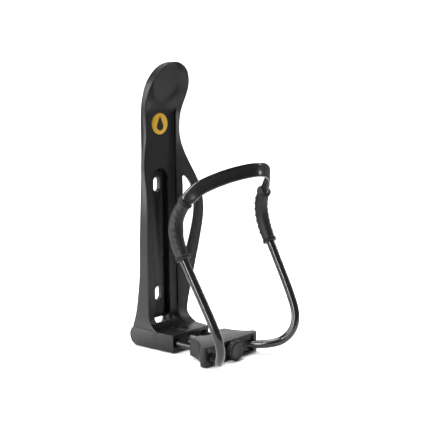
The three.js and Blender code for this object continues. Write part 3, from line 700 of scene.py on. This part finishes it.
def arch(radius, top, bottom):
    return arc((0, top - radius), radius, 0, 180, 28) + [(-radius, bottom), (radius, bottom)]


def slot_outline(middle, half, reach):
    return arc((0, middle + reach), half, 0, 180, 14) + arc((0, middle - reach), half, 180, 360, 14)


def channel_cutter():
    channel = flared(
        arch(CHANNEL_HALF, CHANNEL_TOP, FOOT_TOP + 0.4), panel_surface, CHANNEL_FLOOR - PANEL_FRONT,
    )
    pad = prism(arch(CHANNEL_HALF - 0.95, CHANNEL_TOP - 0.95, FOOT_TOP - 3), "Y", PAD_FRONT, 1)
    soften(pad, 0.3)
    return cut(channel, pad)


def bolt_slots():
    return [
        flared(slot_outline(side * SLOT_SPACING / 2, 2.65, 1.65), lambda x, z: PAD_FRONT, 4.0, 0.25)
        for side in (-1, 1)
    ]


# %% Windows in the wings
WINDOW_SLANT = 0.4


def flank_surface(x, z):
    return front_at(x, z)


def window_outline():
    inner, low, high = 14.9, -9.6, 36.4
    outer = [
        (inner + 0.9, high), (inner + 2.6, high - 3.0), (inner + 3.9, high - 7.5),
        (inner + 4.6, high - 13), (inner + 4.75, high - 19), (inner + 4.4, high - 26),
        (inner + 3.5, high - 34), (inner + 2.3, high - 41.5), (inner + 1.5, low + 0.6),
        (inner + 0.9, low),
    ]
    fine = []
    for i in range(len(outer) - 1):
        before, a, b, after = (
            outer[max(i - 1, 0)], outer[i], outer[i + 1], outer[min(i + 2, len(outer) - 1)]
        )
        for k in range(4):
            t = k / 4
            fine.append(tuple(
                0.5 * (
                    2 * a[n] + (b[n] - before[n]) * t
                    + (2 * before[n] - 5 * a[n] + 4 * b[n] - after[n]) * t * t
                    + (3 * a[n] - before[n] - 3 * b[n] + after[n]) * t ** 3
                ) for n in (0, 1)
            ))
    inner_side = [(inner + 0.3, low + 0.1), (inner, low + 0.8)]
    inner_side += [(inner, low + 1.5 + (high - low - 3) * k / 20) for k in range(21)]
    inner_side += [(inner, high - 0.8), (inner + 0.3, high - 0.1)]
    return fine + [outer[-1]] + inner_side


def window_cutters():
    right = flared(window_outline(), flank_surface, 14.0, 0.3)
    for v in right.verts:
        v.co.x += WINDOW_SLANT * max(0.0, v.co.y - flank_surface(v.co.x, v.co.z))
    return [right, mirrored(right)]


# %% [markdown]
# ## Foot of the backplate
# The foot is a block with a rounded heel. It is hollow from behind, where the frame tube goes, and
# it holds the bores for the two rods and the screw, and a pocket on top for the captive nut.

# %% Foot block
HEEL_BACK = plate_high.y
HEEL_ROUND = 6.4
FOOT_TOP_HALF = 16.2
FOOT_WALL = 1.8
nut_low, nut_high = box_mm("drive_nut")


def foot_block():
    plan = [
        (-14.6, FOOT_FRONT), (14.6, FOOT_FRONT), (15.5, -21.0), (16.1, -14.0), (16.65, -7.0),
        (17.25, 0), (17.25, 6), (-17.25, 6), (-17.25, 0), (-16.65, -7.0), (-16.1, -14.0),
        (-15.5, -21.0),
    ]
    heel = arc((HEEL_BACK - HEEL_ROUND, FOOT_BOTTOM + HEEL_ROUND), HEEL_ROUND, -90, 0, 14)
    side = [(FOOT_FRONT - 1, FOOT_TOP), (FOOT_FRONT - 1, FOOT_BOTTOM)] + heel
    side += [(HEEL_BACK - 0.7, FOOT_TOP - 1.5), (HEEL_BACK - 2.0, FOOT_TOP)]
    body = prism(plan, "Z", FOOT_BOTTOM, FOOT_TOP)
    for v in body.verts:
        if v.co.z > FOOT_TOP - 0.01:
            v.co.x = max(-FOOT_TOP_HALF, min(FOOT_TOP_HALF, v.co.x))
    return soften(common(body, prism(side, "X", -20, 20)), 0.5, 3)


def foot_hollows():
    low, high = FOOT_BOTTOM + FOOT_WALL, FOOT_TOP - FOOT_WALL
    half = 3.3
    back_wall = nut_high.y + 1.5
    hollows = [
        block((-half - 1.4, back_wall, low), (half + 1.4, 8, high)),
        soften(block((-half, nut_low.y - 0.3, nut_low.z - 0.3), (half, nut_high.y + 0.3, -40)), 0.4),
        pin(0, drive_z, 2.35, FOOT_FRONT - 3, back_wall + 1),
    ]
    for side in (-1, 1):
        x0, x1 = sorted((side * (half + 1.4), side * 14.25))
        hollows.append(block((x0, -20.8, low), (x1, 8, high)))
        hollows.append(turned(
            [(0, FOOT_FRONT - 2), (3.2, FOOT_FRONT - 2), (3.2, FOOT_FRONT), (2.75, FOOT_FRONT + 0.4),
             (2.75, FOOT_FRONT + 1.5), (2.5, FOOT_FRONT + 1.5), (2.5, -20), (0, -20)],
            side * rod_x, drive_z,
        ))
    return hollows


# %% Put the backplate together
def backplate():
    spine_half = CHANNEL_HALF + SPINE_WALL
    spine = prism(arch(spine_half, SPINE_TOP, FOOT_TOP - 1), "Y", PANEL_FRONT + 1.2, 0)
    soften(spine, 0.4)
    body = join(plate_skin(), foot_block(), spine)
    tube = FRAME_TUBE_RADIUS
    frame_tube = prism(arc((0, tube), tube, 0, 358, 179), "Z", -70, 110)
    groove = [
        block((side * PANEL_HALF - 0.4, PANEL_FRONT - 3, -41), (side * PANEL_HALF + 0.4, -5.45, 75))
        for side in (-1, 1)
    ]
    drain = soften(block((-5.4, PANEL_FRONT - 2.2, -50.6), (5.4, 6, -46.2)), 0.3)
    seat = turned(
        [(0, -9), (6.75, -9), (6.4, PANEL_FRONT), (6.4, -5.5), (0, -5.5)],
        0, (badge_low.z + badge_high.z) / 2,
    )
    cuts = [channel_cutter(), drain, seat, frame_tube]
    return cut(body, *cuts, *groove, *bolt_slots(), *window_cutters(), *foot_hollows())


finished("backplate_moulding", backplate(), "backplate", plastic, ["backplate"])

# %% [markdown]
# ## Badge and captive nut
# The badge is a thin disc with a rounded edge. The nut is a square block of zinc-plated steel that
# drops into the foot; its edges are tumbled.


# %% Badge and nut
def badge_disc():
    front, back, radius = badge_low.y, badge_high.y, (badge_high.x - badge_low.x) / 2
    profile = [(0, front), (radius - 0.45, front)]
    profile += [
        (radius - 0.45 + 0.4 * math.sin(a), front + 0.3 - 0.3 * math.cos(a)) for a in (0.5, 1.05)
    ]
    profile += [(radius, front + 0.32), (radius, back), (0, back)]
    return turned(profile, 0, (badge_low.z + badge_high.z) / 2, 96)


finished("badge_disc", badge_disc(), "backplate", badge_print, ["badge"])

nut = soften(block(nut_low, nut_high), 0.45, 3)
nut = cut(nut, pin(0, drive_z, 2.2, nut_low.y - 1, nut_high.y + 1))
finished("captive_nut", nut, "backplate", zinc_steel, ["drive_nut"])

# %% [markdown]
# ## Rods, screw and knob
# Each of these is turned: a half profile spun about its axis. The screw's thread is a small ridge
# that winds round the core, so a short triangle is spun with a step along the axis.


# %% Guide rods and clips
def guide_rod(side):
    front, back, radius = rod_low.y, rod_high.y, (rod_high.x - rod_low.x) / 2
    clip_low, clip_high = box_mm("rod_clip_right")
    return turned([
        (0, front), (radius - 0.4, front), (radius, front + 0.4), (radius, clip_low.y - 0.1),
        (radius - 0.5, clip_low.y - 0.1), (radius - 0.5, clip_high.y + 0.1),
        (radius, clip_high.y + 0.1), (radius, back - 0.4), (radius - 0.4, back), (0, back),
    ], side * rod_x, drive_z, 48)


for side, word in ((-1, "left"), (1, "right")):
    finished(
        f"rod_{word}", guide_rod(side), "carriage", black_steel, [f"guide_rod_{word}"],
    )

# %% Threaded screw
PITCH = 0.7


def threaded_screw():
    front, back, radius = screw_low.y, screw_high.y, (screw_high.x - screw_low.x) / 2
    clip_low, clip_high = box_mm("screw_clip")
    thread_start = clip_high.y + 1.5
    root = radius - 0.38
    core = turned([
        (0, front), (radius, front), (radius, clip_low.y - 0.1), (radius - 0.5, clip_low.y - 0.1),
        (radius - 0.5, clip_high.y + 0.1), (radius, clip_high.y + 0.1), (radius, thread_start),
        (root, thread_start + 0.4), (root, back - 0.4), (root - 0.4, back), (0, back),
    ], 0, drive_z, 32)
    ridge = bmesh.new()
    corners = [(root - 0.08, -0.29), (radius - 0.02, -0.05), (radius - 0.02, 0.05), (root - 0.08, 0.29)]
    section = ridge.faces.new([ridge.verts.new((r, thread_start + 0.5 + y, 0)) for r, y in corners])
    turns = (back - 0.8 - thread_start - 0.5) / PITCH
    steps = int(turns * 18)
    bmesh.ops.spin(
        ridge, geom=[section] + section.verts[:] + section.edges[:], cent=(0, 0, 0), axis=(0, 1, 0),
        dvec=(0, PITCH / 18, 0), angle=2 * math.pi * steps / 18, steps=steps,
    )
    bmesh.ops.recalc_face_normals(ridge, faces=ridge.faces)
    bmesh.ops.translate(ridge, vec=(0, 0, drive_z), verts=ridge.verts)
    return core, ridge


core, ridge = threaded_screw()
thread = bpy.data.meshes.new("thread")
ridge.to_mesh(thread)
core.from_mesh(thread)
bpy.data.meshes.remove(thread)
ridge.free()
finished("threaded_screw", core, "knob", zinc_steel, ["adjusting_screw"])


# %% Knurled knob
KNOB_RIBS = 28
RIB_DEPTH = 0.075                 # as a share of the radius


def grip_knob():
    front, back, radius = knob_low.y, knob_high.y, (knob_high.x - knob_low.x) / 2
    ribs = KNOB_RIBS
    bm = bmesh.new()
    bmesh.ops.create_circle(bm, cap_ends=True, segments=ribs * 4, radius=radius)
    bmesh.ops.rotate(bm, matrix=Matrix.Rotation(math.pi / 2, 3, "X"), verts=bm.verts)
    for v in bm.verts:
        angle = math.atan2(v.co.z, v.co.x)
        dip = 0.5 - 0.5 * math.cos(angle * ribs)
        v.co *= 1 - RIB_DEPTH * dip
        v.co.y = back
    moving = bm.faces[:]
    steps = ((-(back - front) + 0.95, 1), (-0.3, 0.985), (-0.35, 0.94), (-0.3, 0.86), (0.15, 0.92))
    for number, (shift, shrink) in enumerate(steps):
        moving, ring = lift(bm, moving, keep=number == 0)
        bmesh.ops.translate(bm, vec=(0, shift, 0), verts=ring)
        bmesh.ops.scale(bm, vec=(shrink, 1, shrink), verts=ring)
    bmesh.ops.recalc_face_normals(bm, faces=bm.faces)
    bmesh.ops.translate(bm, vec=(0, 0, drive_z), verts=bm.verts)
    return cut(bm, pin(0, drive_z, 2.25, front + 0.9, back + 1))


finished("grip_knob", grip_knob(), "knob", plastic_smooth, ["knob"])

# %% [markdown]
# ## Carriage
# The housing is a waisted block, wide in front where the tube's ends go in and narrow behind. Its
# front is closed by a cover under a thin hood, and the tube's two ends leave through holes where
# housing and cover meet.

# %% Route of the tube
TUBE_RADIUS = 2.36
STRAP_HEIGHT = 7.6
STRAP_THICKNESS = 1.9
STRAP_DISH = 0.28
FLATTEN_START = 26.0
STRAP_BOTTOM = 33.0
ROUTE = [
    (9.6, -55.5, -55.6), (12.6, -55.7, -55.6), (15.6, -58.0, -55.5), (17.5, -61.4, -55.3),
    (21.5, -69.2, -54.2), (26.6, -74.3, -52.2), (30.2, -78.8, -45.4), (32.1, -78.6, -37.8),
    (33.1, -75.1, -29.5), (34.7, -60.9, -4.3), (35.1, -54.8, 6.8), (34.9, -52.2, 15.4),
    (33.5, -52.8, 22.6), (31.4, -56.8, 30.0), (28.3, -62.0, 36.0), (23.4, -66.6, 39.3),
    (17.2, -70.5, 41.8), (9.2, -74.4, 43.8), (0, -76.3, 44.6),
]


def route_points(count):
    """Even steps along a smooth curve through the route's right half and its mirror image."""
    knots = [Vector(p) for p in ROUTE]
    knots += [Vector((-p.x, p.y, p.z)) for p in reversed(knots[:-1])]
    knots = [knots[0] * 2 - knots[1]] + knots + [knots[-1] * 2 - knots[-2]]
    fine = []
    for p0, p1, p2, p3 in zip(knots, knots[1:], knots[2:], knots[3:]):
        t1 = (p1 - p0).length ** 0.5
        t2 = t1 + (p2 - p1).length ** 0.5
        t3 = t2 + (p3 - p2).length ** 0.5
        for k in range(24):
            t = t1 + (t2 - t1) * k / 24
            a1 = p0 * ((t1 - t) / t1) + p1 * (t / t1)
            a2 = p1 * ((t2 - t) / (t2 - t1)) + p2 * ((t - t1) / (t2 - t1))
            a3 = p2 * ((t3 - t) / (t3 - t2)) + p3 * ((t - t2) / (t3 - t2))
            b1 = a1 * ((t2 - t) / t2) + a2 * (t / t2)
            b2 = a2 * ((t3 - t) / (t3 - t1)) + a3 * ((t - t1) / (t3 - t1))
            fine.append(b1 * ((t2 - t) / (t2 - t1)) + b2 * ((t - t1) / (t2 - t1)))
    fine.append(knots[-2])
    lengths = [0.0]
    for a, b in zip(fine, fine[1:]):
        lengths.append(lengths[-1] + (b - a).length)
    even = []
    k = 0
    for i in range(count + 1):
        goal = lengths[-1] * i / count
        while k < len(lengths) - 2 and lengths[k + 1] < goal:
            k += 1
        part = (goal - lengths[k]) / max(lengths[k + 1] - lengths[k], 1e-9)
        even.append(fine[k].lerp(fine[k + 1], part))
    for _ in range(14):
        inner = [(a + b * 2 + c) / 4 for a, b, c in zip(even, even[1:], even[2:])]
        even = [even[0]] + inner + [even[-1]]
    return even


# %% Stations along the tube
def stations(points):
    """Each point with its direction and two directions across the tube."""
    result = []
    half = len(points) // 2
    up = Vector((0, 0, 1))
    frames = {}
    wide = up
    for i in range(half, -1, -1):
        ahead = points[min(i + 1, len(points) - 1)] - points[max(i - 1, 0)]
        ahead.normalize()
        guide = up if points[i].z > FLATTEN_START else wide
        wide = (guide - ahead * guide.dot(ahead)).normalized()
        frames[i] = (points[i], ahead, wide, wide.cross(ahead).normalized())
    for i in range(len(points)):
        if i <= half:
            result.append(frames[i])
        else:
            place, ahead, wide, thin = frames[len(points) - 1 - i]
            flip = Vector((-1, 1, 1))
            result.append((place * flip, -(ahead * flip), wide * flip, thin * flip))
    return result


tube_stations = stations(route_points(420))
print("tube length", round(sum(
    (b[0] - a[0]).length for a, b in zip(tube_stations, tube_stations[1:])), 1), "mm")


# %% Sweeping a ring along stations
def swept(rings, segments, closed=False):
    """Extrude a circle from ring to ring. A ring is (station, function of angle -> wide, thin)."""
    bm = bmesh.new()
    angle = bm.verts.layers.float.new("angle")
    first = bmesh.ops.create_circle(bm, cap_ends=False, segments=segments, radius=1)["verts"]
    for v in first:
        v[angle] = math.atan2(v.co.y, v.co.x)
    edges = bm.edges[:]
    start_edges = edges
    for number, ((place, _, wide, thin), shape) in enumerate(rings):
        if number:
            lifted = bmesh.ops.extrude_edge_only(bm, edges=edges)["geom"]
            edges = [item for item in lifted if isinstance(item, bmesh.types.BMEdge)]
            ring = [item for item in lifted if isinstance(item, bmesh.types.BMVert)]
        else:
            ring = first
        for v in ring:
            a, b = shape(v[angle])
            v.co = place + wide * a + thin * b
    if closed:
        bmesh.ops.bridge_loops(bm, edges=start_edges + edges)
    else:
        bmesh.ops.edgeloop_fill(bm, edges=start_edges)
        bmesh.ops.edgeloop_fill(bm, edges=edges)
    bmesh.ops.recalc_face_normals(bm, faces=bm.faces)
    return bm


def round_section(radius):
    return lambda a: (radius * math.cos(a), radius * math.sin(a))


def tube_section(station, clearance=0.0):
    """Round below, pressed flat from inside the sleeves' tops, and a little dished in front."""
    place = station[0]
    flat = smooth(place.z, FLATTEN_START, STRAP_BOTTOM)

    def shape(a):
        round_a, round_b = TUBE_RADIUS * math.cos(a), TUBE_RADIUS * math.sin(a)
        half_h, half_t = STRAP_HEIGHT / 2, STRAP_THICKNESS / 2
        c, s = math.cos(a), math.sin(a)
        strap_a = half_h * math.copysign(abs(c) ** 0.72, c)
        strap_b = half_t * math.copysign(abs(s) ** 0.5, s)
        dish = STRAP_DISH * (1 - min(1, (strap_a / (half_h * 0.72)) ** 2))
        strap_b -= math.copysign(dish, strap_b)
        return (
            round_a + (strap_a - round_a) * flat + clearance * c,
            round_b + (strap_b - round_b) * flat + clearance * s,
        )

    return shape


# %% Carriage housing and cover
CARRIAGE_BACK_HALF = 14.6
CARRIAGE_CORNER = 2.4
SCOOP_RADIUS = 7.0
SCOOP_DEPTH = 3.2


def carriage_plan():
    front, back = housing_low.y, housing_high.y
    wide, narrow = housing_high.x, CARRIAGE_BACK_HALF
    corner = CARRIAGE_CORNER
    side = arc((wide - corner, front + corner), corner, -90, 0, 8)
    waist = [
        (wide, front + 3.6), (wide - 4.4, back - 12.5), (narrow + 0.6, back - 8),
        (narrow, back - 1.4),
    ]
    side += [bezier(waist, k / 16) for k in range(17)]
    side += arc((narrow - 1.4, back - 1.4), 1.4, 0, 90, 6)[1:]
    return side + [(-x, y) for x, y in reversed(side)]


def tube_bore(side, radius=2.75):
    count = next(i for i, s in enumerate(tube_stations) if s[0].y < -67)
    ends = tube_stations[:count]
    rings = [(s, round_section(radius)) for s in ends]
    bore = swept(rings, 32)
    return bore if side > 0 else mirrored(bore)


def carriage_housing():
    low, high = housing_low, housing_high
    slope = [
        (low.y - 1, high.z), (low.y - 1, low.z), (high.y + 1, low.z + 2.0), (high.y + 1, high.z),
    ]
    body = common(prism(carriage_plan(), "Z", low.z, high.z), prism(slope, "X", -30, 30))
    scoop = prism(
        arc((0, high.y - SCOOP_DEPTH + SCOOP_RADIUS), SCOOP_RADIUS, 0, 355, 71), "Z", -70, -40,
    )
    body = soften(cut(body, scoop), 1.3, 4)
    recess = block((cover_low.x - 0.3, low.y - 1, cover_low.z - 0.3),
                   (cover_high.x + 0.3, -57.7, cover_high.z + 0.3))
    cuts = [recess, tube_bore(1), tube_bore(-1), pin(0, drive_z, 3.15, -60, -56.6)]
    cuts.append(pin(0, drive_z, 2.35, -60, -40))
    for side in (-1, 1):
        cuts.append(pin(side * rod_x, drive_z, 2.3, -50.3, -40))
        cuts.append(turned(
            [(0, -58), (2.4, -58), (2.4, -52.2), (1.5, -52.2), (1.5, -46.4), (2.4, -46.4),
             (2.4, -40), (0, -40)],
            side * cover_screw.x, cover_screw.z, 24,
        ))
    return cut(body, *cuts)


def carriage_cover():
    low, high = cover_low, cover_high
    front = low.y
    plate = soften(block((low.x, front, low.z), (high.x, front + 1.5, high.z)), 0.3, 2)
    bosses = [
        pin(side * cover_screw.x, cover_screw.z, 2.1, front + 1.2, high.y, 24) for side in (-1, 1)
    ]
    return cut(join(plate, *bosses), tube_bore(1), tube_bore(-1), pin(0, drive_z, 2.35, -62, -57))


finished(
    "housing_moulding", carriage_housing(), "carriage", plastic, ["carriage_housing"],
)
finished("cover_moulding", carriage_cover(), "carriage", plastic, ["carriage_cover"])

# %% [markdown]
# ## Cage tube
# One round tube, bent on both sides and pressed flat where it crosses in front of the bottle. The
# ring is extruded along the route, and its shape changes on the way from round to flat.


# %% Cage tube
def cage_tube():
    return swept([(s, tube_section(s)) for s in tube_stations], 32)


finished("bent_tube", cage_tube(), "carriage", coating, ["cage_tube"])

# %% [markdown]
# ## Sleeves
# Each sleeve is a moulded rubber tube with two thin lips at each end. Two rows of short slanting
# bars stand out from it, for grip. A ring goes out along the sleeve and back through its bore,
# which follows the tube as it starts to flatten.

# %% Sleeves
LIP_RADIUS = 4.05
WAIST_RADIUS = 3.42
WAIST_SWELL = 0.3
BARS = 7
SLEEVE_LOW = 0.4
SLEEVE_HIGH = 30.0


def sleeve_stations():
    return [s for s in tube_stations[: len(tube_stations) // 2]
            if s[0].x > 28 and SLEEVE_LOW - 0.3 < s[0].z < SLEEVE_HIGH + 0.3 and s[0].y > -66]


def sleeve_radius(t, length):
    """Outer radius at a distance t along a sleeve of a given length."""
    end = min(t, length - t)
    waist = WAIST_RADIUS + WAIST_SWELL * math.sin(math.pi * t / length)
    lips = [(0.5, 0.42), (1.6, 0.42)]
    bump = max(
        (LIP_RADIUS - waist) * math.sqrt(max(0.0, 1 - ((end - middle) / half) ** 2))
        for middle, half in lips
    )
    return waist + bump if end > 0.06 else 3.5


def sleeve_right():
    line = sleeve_stations()
    length = sum((b[0] - a[0]).length for a, b in zip(line, line[1:]))
    steps = 150
    marks = [0.0]
    for a, b in zip(line, line[1:]):
        marks.append(marks[-1] + (b[0] - a[0]).length)

    def at(t):
        k = max(i for i in range(len(marks) - 1) if marks[i] <= t + 1e-9)
        part = min(1.0, (t - marks[k]) / (marks[k + 1] - marks[k]))
        return tuple(line[k][n].lerp(line[k + 1][n], part) for n in range(4))

    outer = []
    for i in range(steps + 1):
        t = length * (0.5 - 0.5 * math.cos(math.pi * i / steps))
        outer.append((at(t), round_section(sleeve_radius(t, length))))
    inner = []
    for i in range(31):
        station = at(length * (1 - i / 30))
        inner.append((station, tube_section(station, 0.06)))
    body = swept(outer + inner, 40, closed=True)
    bars = []
    for facing in (Vector((0.9, -0.3, 0)), Vector((-0.5, 0.85, 0))):
        for i in range(BARS):
            place, ahead, wide, thin = at(length * (0.2 + 0.1 * i))
            outward = (facing - ahead * facing.dot(ahead)).normalized()
            slant = (ahead.cross(outward) + ahead * 0.45).normalized()
            bar = bmesh.new()
            bmesh.ops.create_uvsphere(bar, u_segments=20, v_segments=12, radius=1)
            turn = Matrix((slant, slant.cross(outward), outward)).transposed().to_4x4()
            size = Matrix.Diagonal((1.8, 0.6, 0.44, 1))
            height = 3.35 + WAIST_SWELL * math.sin(math.pi * (0.2 + 0.1 * i))
            spot = Matrix.Translation(place + outward * height)
            bmesh.ops.transform(bar, matrix=spot @ turn @ size, verts=bar.verts)
            bars.append(bar)
    return join(body, *bars)


right = sleeve_right()
left = mirrored(right)
finished("rubber_sleeve_left", left, "carriage", sleeve_rubber, ["sleeve_left"], 40)
finished("rubber_sleeve_right", right, "carriage", sleeve_rubber, ["sleeve_right"], 40)

# %% [markdown]
# ## Small hardware
# The clips, the washer and the two screws behind the cover keep their CAD shapes: they are plain
# stamped or turned parts. Each gets its own steel.

# %% Small hardware
for node in ("rod_clip_left", "rod_clip_right", "screw_clip", "cover_screw_left", "cover_screw_right"):
    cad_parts[node].data.materials.clear()
    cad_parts[node].data.materials.append(black_steel)
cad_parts["thrust_washer"].data.materials.clear()
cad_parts["thrust_washer"].data.materials.append(zinc_steel)

# %% [markdown]
# ## Studio
# A pale floor that curves up into a backdrop, and soft lights all round: tall narrow ones at the left
# draw the long highlights on the tube, one above lights the tops, and two weak ones at the right
# keep the far side readable. A small disc on the floor is what the underside of each piece mirrors.

# %% Floor and backdrop
FLOOR = min(plate_low.z, housing_low.z, knob_low.z) - 0.3


def backdrop():
    bm = bmesh.new()
    profile = [(-3000, FLOOR), (900, FLOOR)]
    profile += [(900 + 700 * math.sin(a), FLOOR + 700 - 700 * math.cos(a)) for a in
                [math.pi / 2 * k / 16 for k in range(1, 17)]]
    profile += [(1600, 3000)]
    points = [bm.verts.new((-4000, y, z)) for y, z in profile]
    edges = [bm.edges.new(pair) for pair in zip(points, points[1:])]
    lifted = bmesh.ops.extrude_edge_only(bm, edges=edges)["geom"]
    far_side = [v for v in lifted if isinstance(v, bmesh.types.BMVert)]
    bmesh.ops.translate(bm, vec=(8000, 0, 0), verts=far_side)
    bmesh.ops.recalc_face_normals(bm, faces=bm.faces)
    bmesh.ops.rotate(bm, matrix=Matrix.Rotation(math.radians(-47), 3, "Z"), verts=bm.verts)
    bmesh.ops.scale(bm, vec=(MM, MM, MM), verts=bm.verts)
    mesh = bpy.data.meshes.new("backdrop")
    bm.to_mesh(mesh)
    bm.free()
    mesh.shade_smooth()
    paper = Paint("paper")
    paper.set(Base_Color=(0.86, 0.86, 0.87, 1), Roughness=0.9)
    mesh.materials.append(paper.material)
    obj = bpy.data.objects.new("backdrop", mesh)
    obj.visible_glossy = False
    scene.collection.objects.link(obj)


def floor_disc():
    """The part of the floor that the object mirrors."""
    bm = bmesh.new()
    bmesh.ops.create_circle(bm, cap_ends=True, segments=64, radius=0.3)
    bmesh.ops.translate(bm, vec=(0, -0.03, (FLOOR + 0.1) * MM), verts=bm.verts)
    mesh = bpy.data.meshes.new("floor_disc")
    bm.to_mesh(mesh)
    bm.free()
    mesh.materials.append(bpy.data.materials["paper"])
    obj = bpy.data.objects.new("floor_disc", mesh)
    obj.visible_camera = False
    obj.visible_shadow = False
    scene.collection.objects.link(obj)


backdrop()
floor_disc()


# %% Lights
def softbox(name, place, target, size, power, tint=(1, 1, 1)):
    data = bpy.data.lights.new(name, "AREA")
    data.shape = "RECTANGLE"
    data.size, data.size_y = size
    data.energy = power
    data.color = tint
    lamp = bpy.data.objects.new(name, data)
    scene.collection.objects.link(lamp)
    lamp.location = place
    lamp.rotation_euler = (Vector(target) - Vector(place)).to_track_quat("-Z", "Y").to_euler()
    return lamp


aim = (0, -0.04, 0.02)
softbox("left_box", (-0.85, -0.15, 0.3), aim, (0.12, 0.9), 7)
softbox("side_box", (-0.75, 0.6, 0.2), aim, (0.3, 0.6), 6)
softbox("low_box", (0.7, 0.65, 0.16), aim, (0.5, 0.2), 0.9).visible_camera = False
softbox("top_box", (-0.1, 0.1, 1.1), aim, (0.5, 0.5), 7)
softbox("right_box", (0.75, -0.35, 0.35), aim, (0.1, 0.8), 1.5)
softbox("backdrop_box", (1.0, 0.6, 1.6), (1.5, 1.4, 0.4), (2.0, 1.0), 55)
world = bpy.data.worlds.new("studio")
world.use_nodes = True
world.node_tree.nodes["Background"].inputs["Color"].default_value = (1, 1, 1, 1)
world.node_tree.nodes["Background"].inputs["Strength"].default_value = 0.12
scene.world = world

# %% [markdown]
# ## Camera
# A long lens from the front left, a little above the carriage. Its axes come from its compass
# angle, its height angle and a slight roll.

# %% Camera
AZIMUTH, ELEVATION, ROLL = math.radians(-47.685), math.radians(8.392), math.radians(-0.393)
DISTANCE, SIDE, HEIGHT = 506.956, 35.467, 13.534

back = Vector((
    math.sin(AZIMUTH) * math.cos(ELEVATION), -math.cos(AZIMUTH) * math.cos(ELEVATION),
    math.sin(ELEVATION),
))
level = Vector((math.cos(AZIMUTH), math.sin(AZIMUTH), 0))
upright = back.cross(level)
right_axis = level * math.cos(ROLL) + upright * math.sin(ROLL)
up_axis = upright * math.cos(ROLL) - level * math.sin(ROLL)
spot = (back * DISTANCE + level * SIDE + upright * HEIGHT) * MM
lens = bpy.data.cameras.new("camera")
lens.lens = 72.94
lens.sensor_width = 36
lens.clip_start = 0.01
lens.clip_end = 20
camera = bpy.data.objects.new("camera", lens)
scene.collection.objects.link(camera)
camera.matrix_world = Matrix((
    (right_axis.x, up_axis.x, back.x, spot.x),
    (right_axis.y, up_axis.y, back.y, spot.y),
    (right_axis.z, up_axis.z, back.z, spot.z),
    (0, 0, 0, 1),
))
scene.camera = camera
scene.view_settings.view_transform = "Standard"
